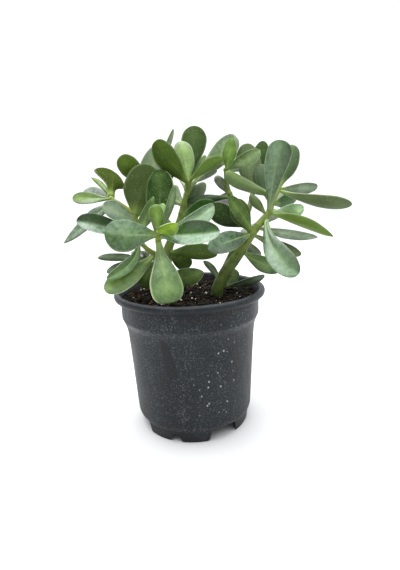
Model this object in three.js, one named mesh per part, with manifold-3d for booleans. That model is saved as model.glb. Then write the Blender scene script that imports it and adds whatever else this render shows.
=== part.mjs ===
// Potted jade plant in a black nursery pot. Millimetres, +Z up.
// The origin is on the pot's axis, on the surface the pot stands on; the photographed side faces -Y and +X is to its right.
import * as THREE from "three";
import { mergeVertices } from "three/addons/utils/BufferGeometryUtils.js";
import Module from "manifold-3d";

// ---- driving dimensions -------------------------------------------------
const POT_HEIGHT = 141; // standing surface to the crest of the rim
const RIM_RADIUS = 76; // outside of the rolled rim: a 152 mm (six inch) pot
const COLLAR_RADIUS = 69.7;
const COLLAR_BOTTOM = POT_HEIGHT - 25.5;
const BODY_TOP_RADIUS = 65.1;
const BODY_BOTTOM_RADIUS = 60.2;
const FOOT_RADIUS = 56.6;
const WALL = 1.45;
const FLOOR_UNDER = 13.2;
const FLOOR_TOP = 15;
const HUB_RADIUS = 15.7; // flat pad under the middle of the floor, level with the feet
const SEGMENTS = 36;
// Notches in the foot: degrees round from the front, and half of the outline as [half width, height].
const WIDE_NOTCH = {
  at: [28.3, 116.3, 204.3, 292.3],
  outline: [[16.4, 0], [15.1, 1.9], [14.1, 9], [12.9, 11.7], [10.4, 13]],
};
const SMALL_NOTCH = {
  at: [-20, 75.3, 160.3, 248.3],
  outline: [[7.3, 0], [5.3, 1.3], [3.8, 4.8], [2.8, 7.2], [1.3, 8.4]],
};
const DRAIN_HOLE_RADIUS = 4.5;
const SOIL_LEVEL = 133.4;
const SOIL_BUMP = 1.1;
const GAP = 0.35; // clearance between touching pieces
const SLIVER = 0.04;
const LEAF_ROUND = 8; // facets round a leaf
const LEAF_LONG = 8; // facets along a leaf
const STEM_ROUND = 9;

const wasm = await Module();
wasm.setup();

// ---- solids ---------------------------------------------------------------
function toSolid(geometry) {
  const bare = new THREE.BufferGeometry().setAttribute(
    "position",
    geometry.getAttribute("position"),
  );
  if (geometry.index) bare.setIndex(geometry.index);
  const welded = mergeVertices(bare, 1e-3);
  const position = welded.getAttribute("position");
  const index = welded.index.array;
  const kept = [];
  for (let i = 0; i < index.length; i += 3) {
    const [a, b, c] = [index[i], index[i + 1], index[i + 2]];
    if (a !== b && b !== c && c !== a) kept.push(a, b, c);
  }
  const mesh = new wasm.Mesh({
    numProp: 3,
    vertProperties: new Float32Array(position.array),
    triVerts: new Uint32Array(kept),
  });
  return new wasm.Manifold(mesh);
}

function toGeometry(solid) {
  const mesh = solid.getMesh();
  const stride = mesh.numProp;
  const count = mesh.vertProperties.length / stride;
  const position = new Float32Array(count * 3);
  for (let i = 0; i < count; i++)
    for (let k = 0; k < 3; k++)
      position[3 * i + k] = mesh.vertProperties[stride * i + k];
  const geometry = new THREE.BufferGeometry();
  geometry.setAttribute("position", new THREE.BufferAttribute(position, 3));
  geometry.setIndex(new THREE.BufferAttribute(new Uint32Array(mesh.triVerts), 1));
  geometry.computeVertexNormals();
  return geometry;
}

// The biggest body of a solid, without slivers thinner than SLIVER.
function mainBody(solid) {
  const bodies = solid.simplify(SLIVER).decompose();
  let best = bodies[0];
  for (const b of bodies) if (b.volume() > best.volume()) best = b;
  return best;
}

const V = (p) => new THREE.Vector3(p[0], p[1], p[2]);

// A seeded random number generator, so the part is the same at each run.
function seeded(seed) {
  let s = seed >>> 0;
  return () => {
    s = (Math.imul(s, 1664525) + 1013904223) >>> 0;
    return s / 4294967296;
  };
}

// ---- pot --------------------------------------------------------------------
function lathe(profile) {
  const g = new THREE.LatheGeometry(
    profile.map(([r, z]) => new THREE.Vector2(r, z)),
    SEGMENTS,
  );
  g.rotateX(Math.PI / 2); // lathe axis Y to Z
  return g;
}

const INNER = [
  [69.7, POT_HEIGHT - 3],
  [68.1, POT_HEIGHT - 8],
  [68.05, COLLAR_BOTTOM + 1],
  [66.0, COLLAR_BOTTOM - 4.6],
  [64.5, COLLAR_BOTTOM - 8.6],
  [63.45, COLLAR_BOTTOM - 13.5],
  [62.75, 95],
  [60.9, 61],
  [59.3, 32],
  [58.3, 19],
  [56.6, FLOOR_TOP],
];

function makePot() {
  const H = POT_HEIGHT;
  const profile = [
    [0, 0],
    [HUB_RADIUS, 0],
    [HUB_RADIUS + 0.9, 11.8],
    [HUB_RADIUS + 2.6, FLOOR_UNDER],
    [53.2, FLOOR_UNDER],
    [54.5, 12.0],
    [FOOT_RADIUS - WALL, 0],
    [FOOT_RADIUS, 0],
    [58.1, 11.6],
    [59.5, 13.4],
    [BODY_BOTTOM_RADIUS, 16],
    [61.1, 32],
    [62.6, 61],
    [64.5, 95],
    [BODY_TOP_RADIUS, COLLAR_BOTTOM - 13.5],
    [66.2, COLLAR_BOTTOM - 8.6],
    [67.7, COLLAR_BOTTOM - 4.4],
    [69.5, COLLAR_BOTTOM - 0.3],
    [COLLAR_RADIUS, COLLAR_BOTTOM + 1],
    [COLLAR_RADIUS, H - 8.4],
    [70.4, H - 7.4],
    [74.2, H - 7.2],
    [75.6, H - 5.8],
    [RIM_RADIUS, H - 4],
    [75.7, H - 2],
    [74.6, H - 0.6],
    [73.0, H],
    [71.3, H - 0.5],
    [70.3, H - 1.6],
    ...INNER,
    [17.6, FLOOR_TOP],
    [15.4, 13.6],
    [14.3, 1.5],
    [0, 1.5],
  ];
  let pot = toSolid(lathe(profile));
  if (pot.volume() < 0) {
    const g = lathe(profile);
    const a = g.index.array;
    for (let i = 0; i < a.length; i += 3) [a[i + 1], a[i + 2]] = [a[i + 2], a[i + 1]];
    pot = toSolid(g);
  }
  // Webs behind both edges of each wide notch, deepest under the floor.
  for (const turn of WIDE_NOTCH.at) {
    const web = new THREE.Shape([
      new THREE.Vector2(52.6, 0.4),
      new THREE.Vector2(53.2, 0.4),
      new THREE.Vector2(54.4, FLOOR_UNDER + 0.2),
      new THREE.Vector2(47.2, FLOOR_UNDER + 0.2),
    ]);
    const g = new THREE.ExtrudeGeometry(web, { depth: 36, bevelEnabled: false });
    g.rotateX(Math.PI / 2); // shape's Y to Z, extrusion to -Y
    g.translate(0, 18, 0);
    g.rotateZ(-Math.PI / 2 + THREE.MathUtils.degToRad(turn));
    pot = pot.add(toSolid(g));
  }
  for (const { at, outline } of [WIDE_NOTCH, SMALL_NOTCH]) {
    for (const turn of at) {
      const s = new THREE.Shape();
      s.moveTo(-outline[0][0], -2);
      s.lineTo(outline[0][0], -2);
      for (const [x, z] of outline) s.lineTo(x, z);
      for (const [x, z] of outline.slice().reverse()) s.lineTo(-x, z);
      const g = new THREE.ExtrudeGeometry(s, { depth: 26, bevelEnabled: false });
      g.rotateX(Math.PI / 2);
      g.translate(0, -42, 0);
      g.rotateZ(THREE.MathUtils.degToRad(turn));
      pot = pot.subtract(toSolid(g));
    }
  }
  for (const turn of WIDE_NOTCH.at) {
    const hole = new THREE.CylinderGeometry(DRAIN_HOLE_RADIUS, DRAIN_HOLE_RADIUS, 8, 12);
    hole.rotateX(Math.PI / 2);
    hole.translate(0, -40, 14);
    hole.rotateZ(THREE.MathUtils.degToRad(turn));
    pot = pot.subtract(toSolid(hole));
  }
  return mainBody(pot);
}

// ---- stems ------------------------------------------------------------------
const STEMS = {
  trunk_right: { points: [[23.4, -13.7, 100.0], [24.2, -13.7, 118.0], [27.5, -13.0, 138.8], [32.4, -12.0, 149.5], [38.2, -11.0, 159.1], [45.3, -11.0, 167.7], [52.7, -12.0, 178.4], [59.0, -13.0, 187.9], [65.5, -12.0, 196.6], [73.6, -10.5, 205.2], [80.6, -9.0, 212.4]],
    radii: [3.84, 5.88, 6.19, 6.17, 5.91, 5.39, 4.86, 4.33, 4.08, 3.60, 3.02] },
  fork_right: { points: [[34.8, -9.0, 153.8], [40.8, -7.0, 166.3], [46.5, -7.0, 177.0], [53.2, -9.0, 184.8], [60.8, -11.0, 190.5]],
    radii: [4.72, 4.36, 3.94, 3.41, 2.90] },
  upper_right: { points: [[62.6, -12.0, 191.5], [56.9, -6.0, 205.6], [49.9, 2.0, 219.1], [43.3, 6.0, 232.8], [41.3, 8.0, 243.4], [40.9, 8.0, 254.2]],
    radii: [3.37, 2.91, 2.70, 2.46, 2.26, 2.10] },
  trunk_left: { points: [[-23.5, -15.0, 100.0], [-23.4, -15.0, 118.0], [-22.9, -14.0, 146.7], [-22.0, -12.0, 163.2], [-19.2, -8.0, 180.2], [-12.7, -4.0, 194.1], [-6.1, -1.0, 208.1], [-1.4, 0.0, 224.1], [2.6, 0.0, 236.2], [4.5, 0.0, 245.4]],
    radii: [3.95, 6.05, 6.37, 5.85, 4.63, 3.91, 3.42, 2.86, 2.50, 2.30] },
  front_stem: { points: [[-22.1, -13.0, 161.4], [-23.7, -26.0, 177.2], [-25.4, -38.0, 189.9], [-25.3, -44.0, 195.8], [-24.3, -51.0, 202.0]],
    radii: [4.38, 3.48, 2.89, 2.61, 1.95] },
  left_branch: { points: [[-22.4, -12.0, 165.2], [-29.6, -16.0, 176.0], [-39.0, -20.0, 184.6], [-45.3, -20.0, 194.3], [-45.7, -19.0, 209.0], [-50.4, -19.0, 218.3], [-59.5, -21.0, 225.9], [-67.4, -22.0, 231.3]],
    radii: [3.65, 2.68, 2.30, 2.19, 2.18, 2.02, 1.86, 1.76] },
  right_tip_stem: { points: [[79.7, -9.0, 211.5], [84.7, -4.0, 223.4], [91.4, 0.0, 234.5]],
    radii: [3.36, 2.90, 2.43] },
  rear_left_branch: { points: [[-20.8, -9.0, 168.5], [-32.4, 4.0, 171.0], [-42.5, 13.0, 169.0]],
    radii: [3.43, 3.03, 2.59] },
  rear_branch: { points: [[-10.6, -3.0, 196.8], [-21.9, 5.0, 210.4], [-30.1, 8.0, 224.2], [-33.8, 10.0, 237.9], [-27.5, 13.0, 253.9]],
    radii: [3.18, 2.97, 2.57, 2.37, 1.97] },
  rear_right_branch: { points: [[57.6, -5.0, 207.5], [64.3, 8.0, 219.3], [69.0, 17.0, 231.9]],
    radii: [2.92, 2.70, 2.44] },
};

function catmullRom(points, radii, sub) {
  const q = [];
  const r = [];
  const n = points.length;
  for (let i = 0; i < n - 1; i++) {
    const [a, b, c, d] = [
      points[Math.max(i - 1, 0)],
      points[i],
      points[i + 1],
      points[Math.min(i + 2, n - 1)],
    ].map(V);
    for (let k = 0; k < sub; k++) {
      const t = k / sub;
      const f = (x, y, z, w) =>
        0.5 *
        (2 * y +
          (z - x) * t +
          (2 * x - 5 * y + 4 * z - w) * t * t +
          (3 * y - x - 3 * z + w) * t * t * t);
      q.push(
        new THREE.Vector3(
          f(a.x, b.x, c.x, d.x),
          f(a.y, b.y, c.y, d.y),
          f(a.z, b.z, c.z, d.z),
        ),
      );
      r.push(radii[i] * (1 - t) + radii[i + 1] * t);
    }
  }
  q.push(V(points[n - 1]));
  r.push(radii[n - 1]);
  return { q, r };
}

// A closed tube of varying radius along a curve, made by bending a cylinder.
function stemGeometry({ points, radii }, grow = 0) {
  const { q, r } = catmullRom(points, radii, 2);
  const last = q.length - 1;
  if (grow) {
    const d0 = q[0].clone().sub(q[1]).normalize();
    const d1 = q[last].clone().sub(q[last - 1]).normalize();
    q[0].addScaledVector(d0, grow);
    q[last].addScaledVector(d1, grow);
  }
  const g = new THREE.CylinderGeometry(1, 1, 1, STEM_ROUND, last);
  const p = g.getAttribute("position");
  for (let i = 0; i < p.count; i++) {
    const k = Math.round((p.getY(i) + 0.5) * last);
    const d = q[Math.min(k + 1, last)].clone().sub(q[Math.max(k - 1, 0)]).normalize();
    const s = d.clone().cross(new THREE.Vector3(0, 1, 0)).normalize();
    const m = s.clone().cross(d);
    const at = q[k]
      .clone()
      .addScaledVector(s, p.getX(i) * (r[k] + grow))
      .addScaledVector(m, p.getZ(i) * (r[k] + grow));
    p.setXYZ(i, at.x, at.y, at.z);
  }
  return g;
}

function joinStems(names, grow = 0) {
  let out = null;
  for (const n of names) {
    const s = toSolid(stemGeometry(STEMS[n], grow));
    out = out ? out.add(s) : s;
  }
  return out;
}

// ---- leaves -----------------------------------------------------------------
// base and tip: ends of the midrib. face: normal of the upper face. bow: how far the midrib rises towards
// the upper face. sway: sideways pull on the midrib. widest: where the blade is widest, from 0 at the base to 1.
// neck and flare: how narrow the base is and how fast it widens. point: 0.46 for a round tip, more for a pointed one.
// cup and fold: rise of the margins, curved and V-shaped.
const LEAVES = [
  { name: "leaf_pair_front_low", collar: { at: [-24.8, -47.9, 199.3], along: [0.124, -0.747, 0.653], radius: 4.18 },
    leaves: [
      { base: [-26.0, -48.2, 199.2], tip: [-64.8, -72.0, 205.8], face: [0.501, -0.823, -0.267], width: 26.8, bow: 5.0, sway: [0.0, 0.0, 0.0], widest: 0.74, neck: 0.22, flare: 1.6, point: 0.46, cup: 0.30, fold: 0.28, tone: 3 },
      { base: [-23.6, -48.0, 199.0], tip: [26.8, -68.0, 201.2], face: [-0.379, -0.808, 0.452], width: 21.6, bow: 5.0, sway: [-0.1, -0.5, -6.0], widest: 0.62, neck: 0.22, flare: 1.6, point: 0.46, cup: 0.30, fold: 0.34, tone: 3 },
    ] },
  { name: "leaf_pair_front_bud", collar: { at: [-24.3, -51.0, 202.0], along: [0.123, -0.747, 0.654], radius: 3.85 },
    leaves: [
      { base: [-24.4, -50.3, 202.8], tip: [-25.1, -52.0, 224.6], face: [0.167, -0.985, -0.038], width: 13.1, bow: 2.0, sway: [0.0, 0.0, 0.0], widest: 0.60, neck: 0.22, flare: 1.6, point: 0.46, cup: 0.14, fold: 0.08, tone: 1 },
      { base: [-23.3, -51.3, 201.6], tip: [-7.9, -71.1, 209.3], face: [-0.309, -0.601, -0.737], width: 14.1, bow: -0.0, sway: [0.0, -0.0, -0.0], widest: 0.50, neck: 0.35, flare: 1.6, point: 0.46, cup: 0.45, fold: 0.10, tone: 0 },
    ] },
  { name: "leaf_pair_front_inner", collar: { at: [-24.9, -46.9, 198.4], along: [0.117, -0.745, 0.656], radius: 4.26 },
    leaves: [
      { base: [-24.7, -46.0, 199.4], tip: [-19.5, -37.0, 224.9], face: [0.329, -0.894, 0.305], width: 9.3, bow: 1.0, sway: [0.0, 0.0, 0.0], widest: 0.60, neck: 0.22, flare: 1.6, point: 0.46, cup: 0.14, fold: 0.15, tone: 1 },
      { base: [-24.5, -45.0, 198.4], tip: [-8.4, -49.0, 238.8], face: [0.751, -0.625, -0.213], width: 10.3, bow: 1.7, sway: [1.0, 0.0, -0.1], widest: 0.62, neck: 0.22, flare: 1.6, point: 0.46, cup: 0.14, fold: 0.00, tone: 3 },
    ] },
  { name: "leaf_front_right_upper", collar: null,
    leaves: [
      { base: [-24.2, -42.0, 195.0], tip: [25.7, -25.7, 221.1], face: [0.396, -0.861, -0.319], width: 17.7, bow: 2.5, sway: [0.0, -0.0, -0.0], widest: 0.70, neck: 0.22, flare: 1.6, point: 0.46, cup: 0.22, fold: 0.36, tone: 3 },
    ] },
  { name: "leaf_front_left_slim", collar: null,
    leaves: [
      { base: [-45.1, -20.8, 197.8], tip: [-26.3, -50.0, 231.0], face: [0.205, -0.794, -0.573], width: 12.0, bow: 1.0, sway: [0.0, 0.0, -0.0], widest: 0.50, neck: 0.22, flare: 1.6, point: 0.75, cup: 0.14, fold: 0.15, tone: 3 },
    ] },
  { name: "leaf_front_hanging", collar: null,
    leaves: [
      { base: [-25.3, -43.0, 192.8], tip: [-17.7, -64.0, 141.9], face: [0.041, -0.925, 0.379], width: 28.5, bow: 4.0, sway: [-0.0, -0.0, -0.0], widest: 0.79, neck: 0.20, flare: 2.2, point: 0.37, cup: 0.14, fold: 0.06, tone: 2 },
    ] },
  { name: "leaf_front_upright", collar: null,
    leaves: [
      { base: [-25.4, -40.9, 195.0], tip: [-20.1, -22.0, 254.4], face: [0.071, -0.957, 0.281], width: 25.7, bow: 2.0, sway: [0.0, 0.0, -0.0], widest: 0.62, neck: 0.22, flare: 1.6, point: 0.46, cup: 0.14, fold: 0.00, tone: 5 },
    ] },
  { name: "leaf_pair_left_tip", collar: { at: [-67.4, -22.0, 231.3], along: [-0.829, -0.097, 0.551], radius: 3.66 },
    leaves: [
      { base: [-67.7, -22.7, 230.7], tip: [-95.5, -42.0, 231.4], face: [0.489, -0.767, 0.415], width: 11.6, bow: 2.0, sway: [0.0, -0.0, 0.0], widest: 0.72, neck: 0.22, flare: 1.6, point: 0.46, cup: 0.25, fold: 0.12, tone: 1 },
      { base: [-67.6, -21.1, 231.1], tip: [-101.2, 15.8, 238.8], face: [-0.516, -0.569, 0.640], width: 15.6, bow: 0.0, sway: [0.0, 0.0, 0.0], widest: 0.60, neck: 0.22, flare: 1.6, point: 0.46, cup: 0.14, fold: 0.00, tone: 3 },
    ] },
  { name: "leaf_pair_left_top", collar: { at: [-67.4, -22.0, 231.3], along: [-0.829, -0.097, 0.551], radius: 3.66 },
    leaves: [
      { base: [-67.3, -21.1, 231.5], tip: [-87.1, -3.0, 251.3], face: [0.212, -0.364, 0.907], width: 7.4, bow: -0.5, sway: [2.3, 0.3, 3.2], widest: 0.62, neck: 0.22, flare: 1.6, point: 0.70, cup: 0.14, fold: 0.00, tone: 3 },
      { base: [-67.2, -21.1, 231.6], tip: [-72.2, 24.0, 258.7], face: [-0.610, 0.377, -0.697], width: 33.4, bow: 0.0, sway: [0.0, 0.0, -0.0], widest: 0.75, neck: 0.22, flare: 6.0, point: 0.46, cup: 0.20, fold: 0.00, tone: 2 },
    ] },
  { name: "leaf_pair_left_drooping", collar: { at: [-66.0, -21.8, 230.3], along: [-0.835, -0.091, 0.543], radius: 3.69 },
    leaves: [
      { base: [-65.6, -21.5, 228.9], tip: [-118.2, -10.0, 191.3], face: [-0.463, -0.724, 0.511], width: 17.5, bow: -3.0, sway: [-0.0, -0.0, 0.0], widest: 0.42, neck: 0.22, flare: 1.6, point: 0.85, cup: 0.14, fold: 0.20, tone: 3 },
      { base: [-67.6, -21.1, 231.1], tip: [-75.6, 34.0, 220.6], face: [0.633, -0.100, -0.768], width: 14.7, bow: 3.0, sway: [-0.0, -0.0, -0.0], widest: 0.64, neck: 0.22, flare: 1.6, point: 0.46, cup: 0.14, fold: 0.00, tone: 2 },
    ] },
  { name: "leaf_left_blue", collar: null,
    leaves: [
      { base: [-46.4, -19.9, 208.9], tip: [-70.4, -44.0, 225.8], face: [0.653, -0.758, 0.009], width: 16.4, bow: 2.0, sway: [0.0, 0.0, 0.0], widest: 0.68, neck: 0.22, flare: 1.6, point: 0.46, cup: 0.14, fold: 0.16, tone: 4 },
    ] },
  { name: "leaf_left_broad", collar: null,
    leaves: [
      { base: [-46.6, -20.6, 195.8], tip: [-92.1, -50.0, 213.7], face: [0.665, -0.680, 0.309], width: 17.5, bow: 3.0, sway: [0.0, 0.0, 0.0], widest: 0.74, neck: 0.22, flare: 1.6, point: 0.46, cup: 0.28, fold: 0.34, tone: 3 },
    ] },
  { name: "leaf_pair_left_dark", collar: { at: [-47.5, -18.8, 214.1], along: [-0.474, 0.012, 0.880], radius: 4.00 },
    leaves: [
      { base: [-46.5, -18.9, 214.6], tip: [-25.7, -20.3, 255.6], face: [0.014, 1.000, 0.024], width: 36.6, bow: 3.2, sway: [-6.3, -0.7, 3.0], widest: 0.56, neck: 0.22, flare: 1.6, point: 0.46, cup: 0.14, fold: 0.00, tone: 5 },
      { base: [-46.9, -17.7, 212.9], tip: [-49.4, 50.0, 229.8], face: [0.380, -0.182, 0.907], width: 20.5, bow: 3.0, sway: [0.0, 0.0, -0.0], widest: 0.64, neck: 0.22, flare: 1.6, point: 0.46, cup: 0.14, fold: 0.00, tone: 2 },
    ] },
  { name: "leaf_left_round", collar: null,
    leaves: [
      { base: [-33.6, 10.0, 242.5], tip: [-58.1, -14.0, 266.8], face: [-0.436, 0.818, 0.376], width: 19.3, bow: 1.0, sway: [0.0, 0.0, 0.0], widest: 0.66, neck: 0.22, flare: 1.6, point: 0.46, cup: 0.14, fold: 0.00, tone: 1 },
    ] },
  { name: "leaf_low_left_inner", collar: null,
    leaves: [
      { base: [-45.1, -20.9, 191.1], tip: [-71.2, -52.0, 163.3], face: [0.083, -0.712, 0.697], width: 12.8, bow: 5.0, sway: [12.7, 0.5, -11.3], widest: 0.62, neck: 0.22, flare: 1.6, point: 0.46, cup: 0.14, fold: 0.20, tone: 2 },
    ] },
  { name: "leaf_pair_low_left", collar: { at: [-33.1, -17.7, 179.3], along: [-0.722, -0.334, 0.607], radius: 4.44 },
    leaves: [
      { base: [-32.5, -17.7, 177.2], tip: [-74.3, -50.0, 152.2], face: [0.175, -0.790, 0.588], width: 20.3, bow: 5.0, sway: [3.2, -0.5, -5.1], widest: 0.72, neck: 0.22, flare: 1.6, point: 0.46, cup: 0.14, fold: 0.00, tone: 2 },
      { base: [-35.0, -17.0, 180.3], tip: [-65.4, 74.1, 163.0], face: [-0.731, -0.370, -0.573], width: 16.1, bow: 2.2, sway: [-0.0, 0.0, 0.0], widest: 0.64, neck: 0.22, flare: 1.6, point: 0.46, cup: 0.14, fold: 0.00, tone: 2 },
    ] },
  { name: "leaf_pair_low_left_rear", collar: { at: [-42.5, 13.0, 169.0], along: [-0.744, 0.644, -0.178], radius: 4.49 },
    leaves: [
      { base: [-42.7, 11.4, 169.9], tip: [-96.7, 30.3, 170.6], face: [-0.168, -0.504, 0.847], width: 12.7, bow: 0.1, sway: [0.0, 0.0, 0.0], widest: 0.62, neck: 0.22, flare: 1.6, point: 0.46, cup: 0.14, fold: 0.00, tone: 5 },
      { base: [-43.4, 11.9, 168.6], tip: [-89.4, 31.4, 154.5], face: [-0.445, -0.640, 0.626], width: 13.1, bow: -0.0, sway: [-0.0, 0.0, 0.0], widest: 0.62, neck: 0.22, flare: 1.6, point: 0.46, cup: 0.14, fold: 0.00, tone: 5 },
    ] },
  { name: "leaf_low_centre_dark", collar: null,
    leaves: [
      { base: [-17.6, -10.1, 178.1], tip: [26.5, -40.0, 180.6], face: [0.474, 0.835, 0.279], width: 17.4, bow: 1.0, sway: [-0.0, -0.0, -0.0], widest: 0.62, neck: 0.22, flare: 1.6, point: 0.46, cup: 0.14, fold: 0.00, tone: 5 },
    ] },
  { name: "leaf_low_rear_left", collar: null,
    leaves: [
      { base: [-28.8, -14.4, 172.4], tip: [-48.7, 0.0, 143.6], face: [-0.392, -0.914, -0.106], width: 19.5, bow: 1.0, sway: [-0.0, 0.0, 0.0], widest: 0.62, neck: 0.22, flare: 1.6, point: 0.46, cup: 0.14, fold: 0.00, tone: 2 },
    ] },
  { name: "leaf_low_centre_front", collar: null,
    leaves: [
      { base: [-20.0, -15.6, 151.7], tip: [13.8, -38.0, 162.6], face: [-0.464, -0.854, -0.235], width: 19.1, bow: 3.0, sway: [0.0, -0.0, -0.0], widest: 0.52, neck: 0.22, flare: 1.6, point: 0.68, cup: 0.14, fold: 0.12, tone: 2 },
    ] },
  { name: "leaf_low_rear_centre", collar: null,
    leaves: [
      { base: [-18.2, -6.6, 177.3], tip: [1.5, 18.0, 157.6], face: [0.400, -0.770, -0.497], width: 16.9, bow: 0.0, sway: [-0.0, -0.0, -0.0], widest: 0.64, neck: 0.22, flare: 1.6, point: 0.46, cup: 0.14, fold: 0.00, tone: 2 },
    ] },
  { name: "leaf_mid_rear", collar: null,
    leaves: [
      { base: [-10.8, -1.1, 196.9], tip: [1.4, 66.0, 192.5], face: [0.876, -0.139, 0.463], width: 25.2, bow: 5.0, sway: [0.0, -0.0, -0.0], widest: 0.64, neck: 0.22, flare: 1.6, point: 0.46, cup: 0.14, fold: 0.00, tone: 2 },
    ] },
  { name: "leaf_pair_crown_front", collar: { at: [4.2, 0.0, 243.8], along: [0.173, 0.000, 0.985], radius: 4.25 },
    leaves: [
      { base: [3.0, -0.9, 242.9], tip: [-23.9, -30.0, 276.9], face: [-0.468, 0.829, 0.308], width: 21.3, bow: 1.0, sway: [-0.8, 0.0, -0.6], widest: 0.66, neck: 0.22, flare: 1.6, point: 0.46, cup: 0.14, fold: 0.00, tone: 2 },
      { base: [5.3, -1.0, 245.3], tip: [34.0, -32.0, 261.9], face: [0.166, 0.595, 0.786], width: 13.3, bow: 2.0, sway: [0.0, 0.0, -0.0], widest: 0.66, neck: 0.22, flare: 1.6, point: 0.46, cup: 0.30, fold: -0.15, tone: 2 },
    ] },
  { name: "leaf_crown_cross", collar: null,
    leaves: [
      { base: [3.0, 1.1, 241.7], tip: [-2.9, 19.3, 283.3], face: [0.084, -0.890, 0.447], width: 19.2, bow: 2.5, sway: [3.0, -0.0, 0.5], widest: 0.60, neck: 0.22, flare: 1.6, point: 0.46, cup: 0.20, fold: 0.08, tone: 3 },
    ] },
  { name: "leaf_crown_behind", collar: null,
    leaves: [
      { base: [4.6, 1.0, 241.4], tip: [34.3, 31.5, 254.2], face: [-0.680, 0.404, 0.612], width: 10.4, bow: 1.5, sway: [0.0, 0.0, -0.0], widest: 0.62, neck: 0.22, flare: 1.6, point: 0.46, cup: 0.14, fold: 0.00, tone: 3 },
    ] },
  { name: "leaf_pair_crown_rear", collar: { at: [1.3, 0.0, 232.0], along: [0.323, -0.013, 0.946], radius: 4.54 },
    leaves: [
      { base: [1.4, 1.4, 233.6], tip: [14.4, 30.0, 298.7], face: [-0.069, 0.921, -0.382], width: 26.2, bow: 0.0, sway: [0.0, -0.0, -0.0], widest: 0.78, neck: 0.22, flare: 4.0, point: 0.46, cup: 0.14, fold: 0.00, tone: 5 },
      { base: [1.1, 1.5, 230.5], tip: [23.9, 40.0, 270.8], face: [-0.830, 0.556, -0.044], width: 12.9, bow: 0.0, sway: [0.0, -0.0, -0.0], widest: 0.62, neck: 0.22, flare: 1.6, point: 0.46, cup: 0.14, fold: 0.00, tone: 3 },
    ] },
  { name: "leaf_crown_wide", collar: null,
    leaves: [
      { base: [4.4, 0.7, 238.7], tip: [54.3, 24.7, 286.1], face: [0.324, -0.935, 0.145], width: 21.7, bow: 2.4, sway: [0.0, 0.0, -0.0], widest: 0.74, neck: 0.16, flare: 2.0, point: 0.46, cup: 0.14, fold: 0.12, tone: 3 },
    ] },
  { name: "leaf_crown_rear_single", collar: null,
    leaves: [
      { base: [2.1, 1.4, 234.9], tip: [3.0, 78.4, 267.9], face: [0.021, -0.395, 0.918], width: 23.3, bow: 1.6, sway: [0.0, -0.0, -0.0], widest: 0.64, neck: 0.22, flare: 1.6, point: 0.46, cup: 0.14, fold: 0.00, tone: 2 },
    ] },
  { name: "leaf_pair_rear_slim", collar: { at: [-28.0, 12.8, 252.6], along: [0.414, 0.171, 0.894], radius: 3.92 },
    leaves: [
      { base: [-27.6, 14.1, 253.7], tip: [-8.4, 44.0, 298.5], face: [0.939, -0.308, -0.151], width: 10.9, bow: 0.0, sway: [0.0, 0.0, -0.0], widest: 0.62, neck: 0.22, flare: 1.6, point: 0.46, cup: 0.14, fold: 0.00, tone: 3 },
      { base: [-27.8, 12.3, 250.5], tip: [-9.8, 12.3, 253.2], face: [-0.122, 0.930, 0.348], width: 13.4, bow: -0.1, sway: [0.0, 0.0, -0.0], widest: 0.62, neck: 0.22, flare: 1.6, point: 0.46, cup: 0.14, fold: 0.00, tone: 4 },
    ] },
  { name: "leaf_rear_light", collar: null,
    leaves: [
      { base: [-47.3, -18.2, 215.7], tip: [-23.4, 12.0, 277.8], face: [0.475, -0.850, 0.227], width: 23.5, bow: 1.0, sway: [0.0, 0.0, -0.0], widest: 0.60, neck: 0.22, flare: 1.6, point: 0.46, cup: 0.14, fold: 0.00, tone: 3 },
    ] },
  { name: "leaf_centre_rear", collar: null,
    leaves: [
      { base: [-2.6, 1.4, 222.4], tip: [-23.1, 58.0, 238.5], face: [-0.573, -0.438, 0.693], width: 23.4, bow: 3.0, sway: [0.0, 0.0, 0.0], widest: 0.64, neck: 0.22, flare: 1.6, point: 0.46, cup: 0.14, fold: 0.00, tone: 2 },
    ] },
  { name: "leaf_pair_centre_low", collar: { at: [-4.2, -0.4, 214.1], along: [0.274, 0.063, 0.960], radius: 5.11 },
    leaves: [
      { base: [-2.8, 1.2, 215.9], tip: [22.7, 36.2, 242.3], face: [-0.799, 0.600, -0.048], width: 17.5, bow: -0.7, sway: [0.0, -0.0, -0.0], widest: 0.62, neck: 0.22, flare: 1.6, point: 0.60, cup: 0.14, fold: 0.00, tone: 5 },
      { base: [-3.3, -1.5, 211.7], tip: [28.4, -16.5, 222.2], face: [0.218, 0.879, 0.423], width: 18.5, bow: -0.8, sway: [0.0, -0.0, -0.0], widest: 0.62, neck: 0.22, flare: 1.6, point: 0.46, cup: 0.14, fold: 0.00, tone: 5 },
    ] },
  { name: "leaf_pair_upper_bud", collar: { at: [40.9, 8.0, 254.2], along: [-0.026, -0.016, 1.000], radius: 4.00 },
    leaves: [
      { base: [41.4, 7.0, 254.2], tip: [45.9, -4.0, 280.7], face: [-0.084, -0.908, -0.411], width: 13.6, bow: 0.0, sway: [0.0, -0.0, -0.0], widest: 0.55, neck: 0.22, flare: 1.6, point: 0.46, cup: 0.14, fold: 0.10, tone: 0 },
      { base: [41.7, 7.1, 254.2], tip: [68.2, -24.0, 267.4], face: [-0.414, -0.592, -0.691], width: 14.4, bow: 2.0, sway: [0.0, 0.0, -0.0], widest: 0.66, neck: 0.22, flare: 1.6, point: 0.46, cup: 0.14, fold: 0.22, tone: 1 },
    ] },
  { name: "leaf_upper_rear", collar: null,
    leaves: [
      { base: [41.4, 9.1, 252.3], tip: [65.7, 66.0, 269.8], face: [0.739, -0.455, 0.497], width: 21.4, bow: 2.0, sway: [0.0, -0.0, -0.0], widest: 0.64, neck: 0.22, flare: 1.6, point: 0.46, cup: 0.14, fold: 0.00, tone: 2 },
    ] },
  { name: "leaf_pair_upper_mid", collar: { at: [43.9, 5.6, 231.2], along: [-0.372, 0.215, 0.903], radius: 4.39 },
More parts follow.
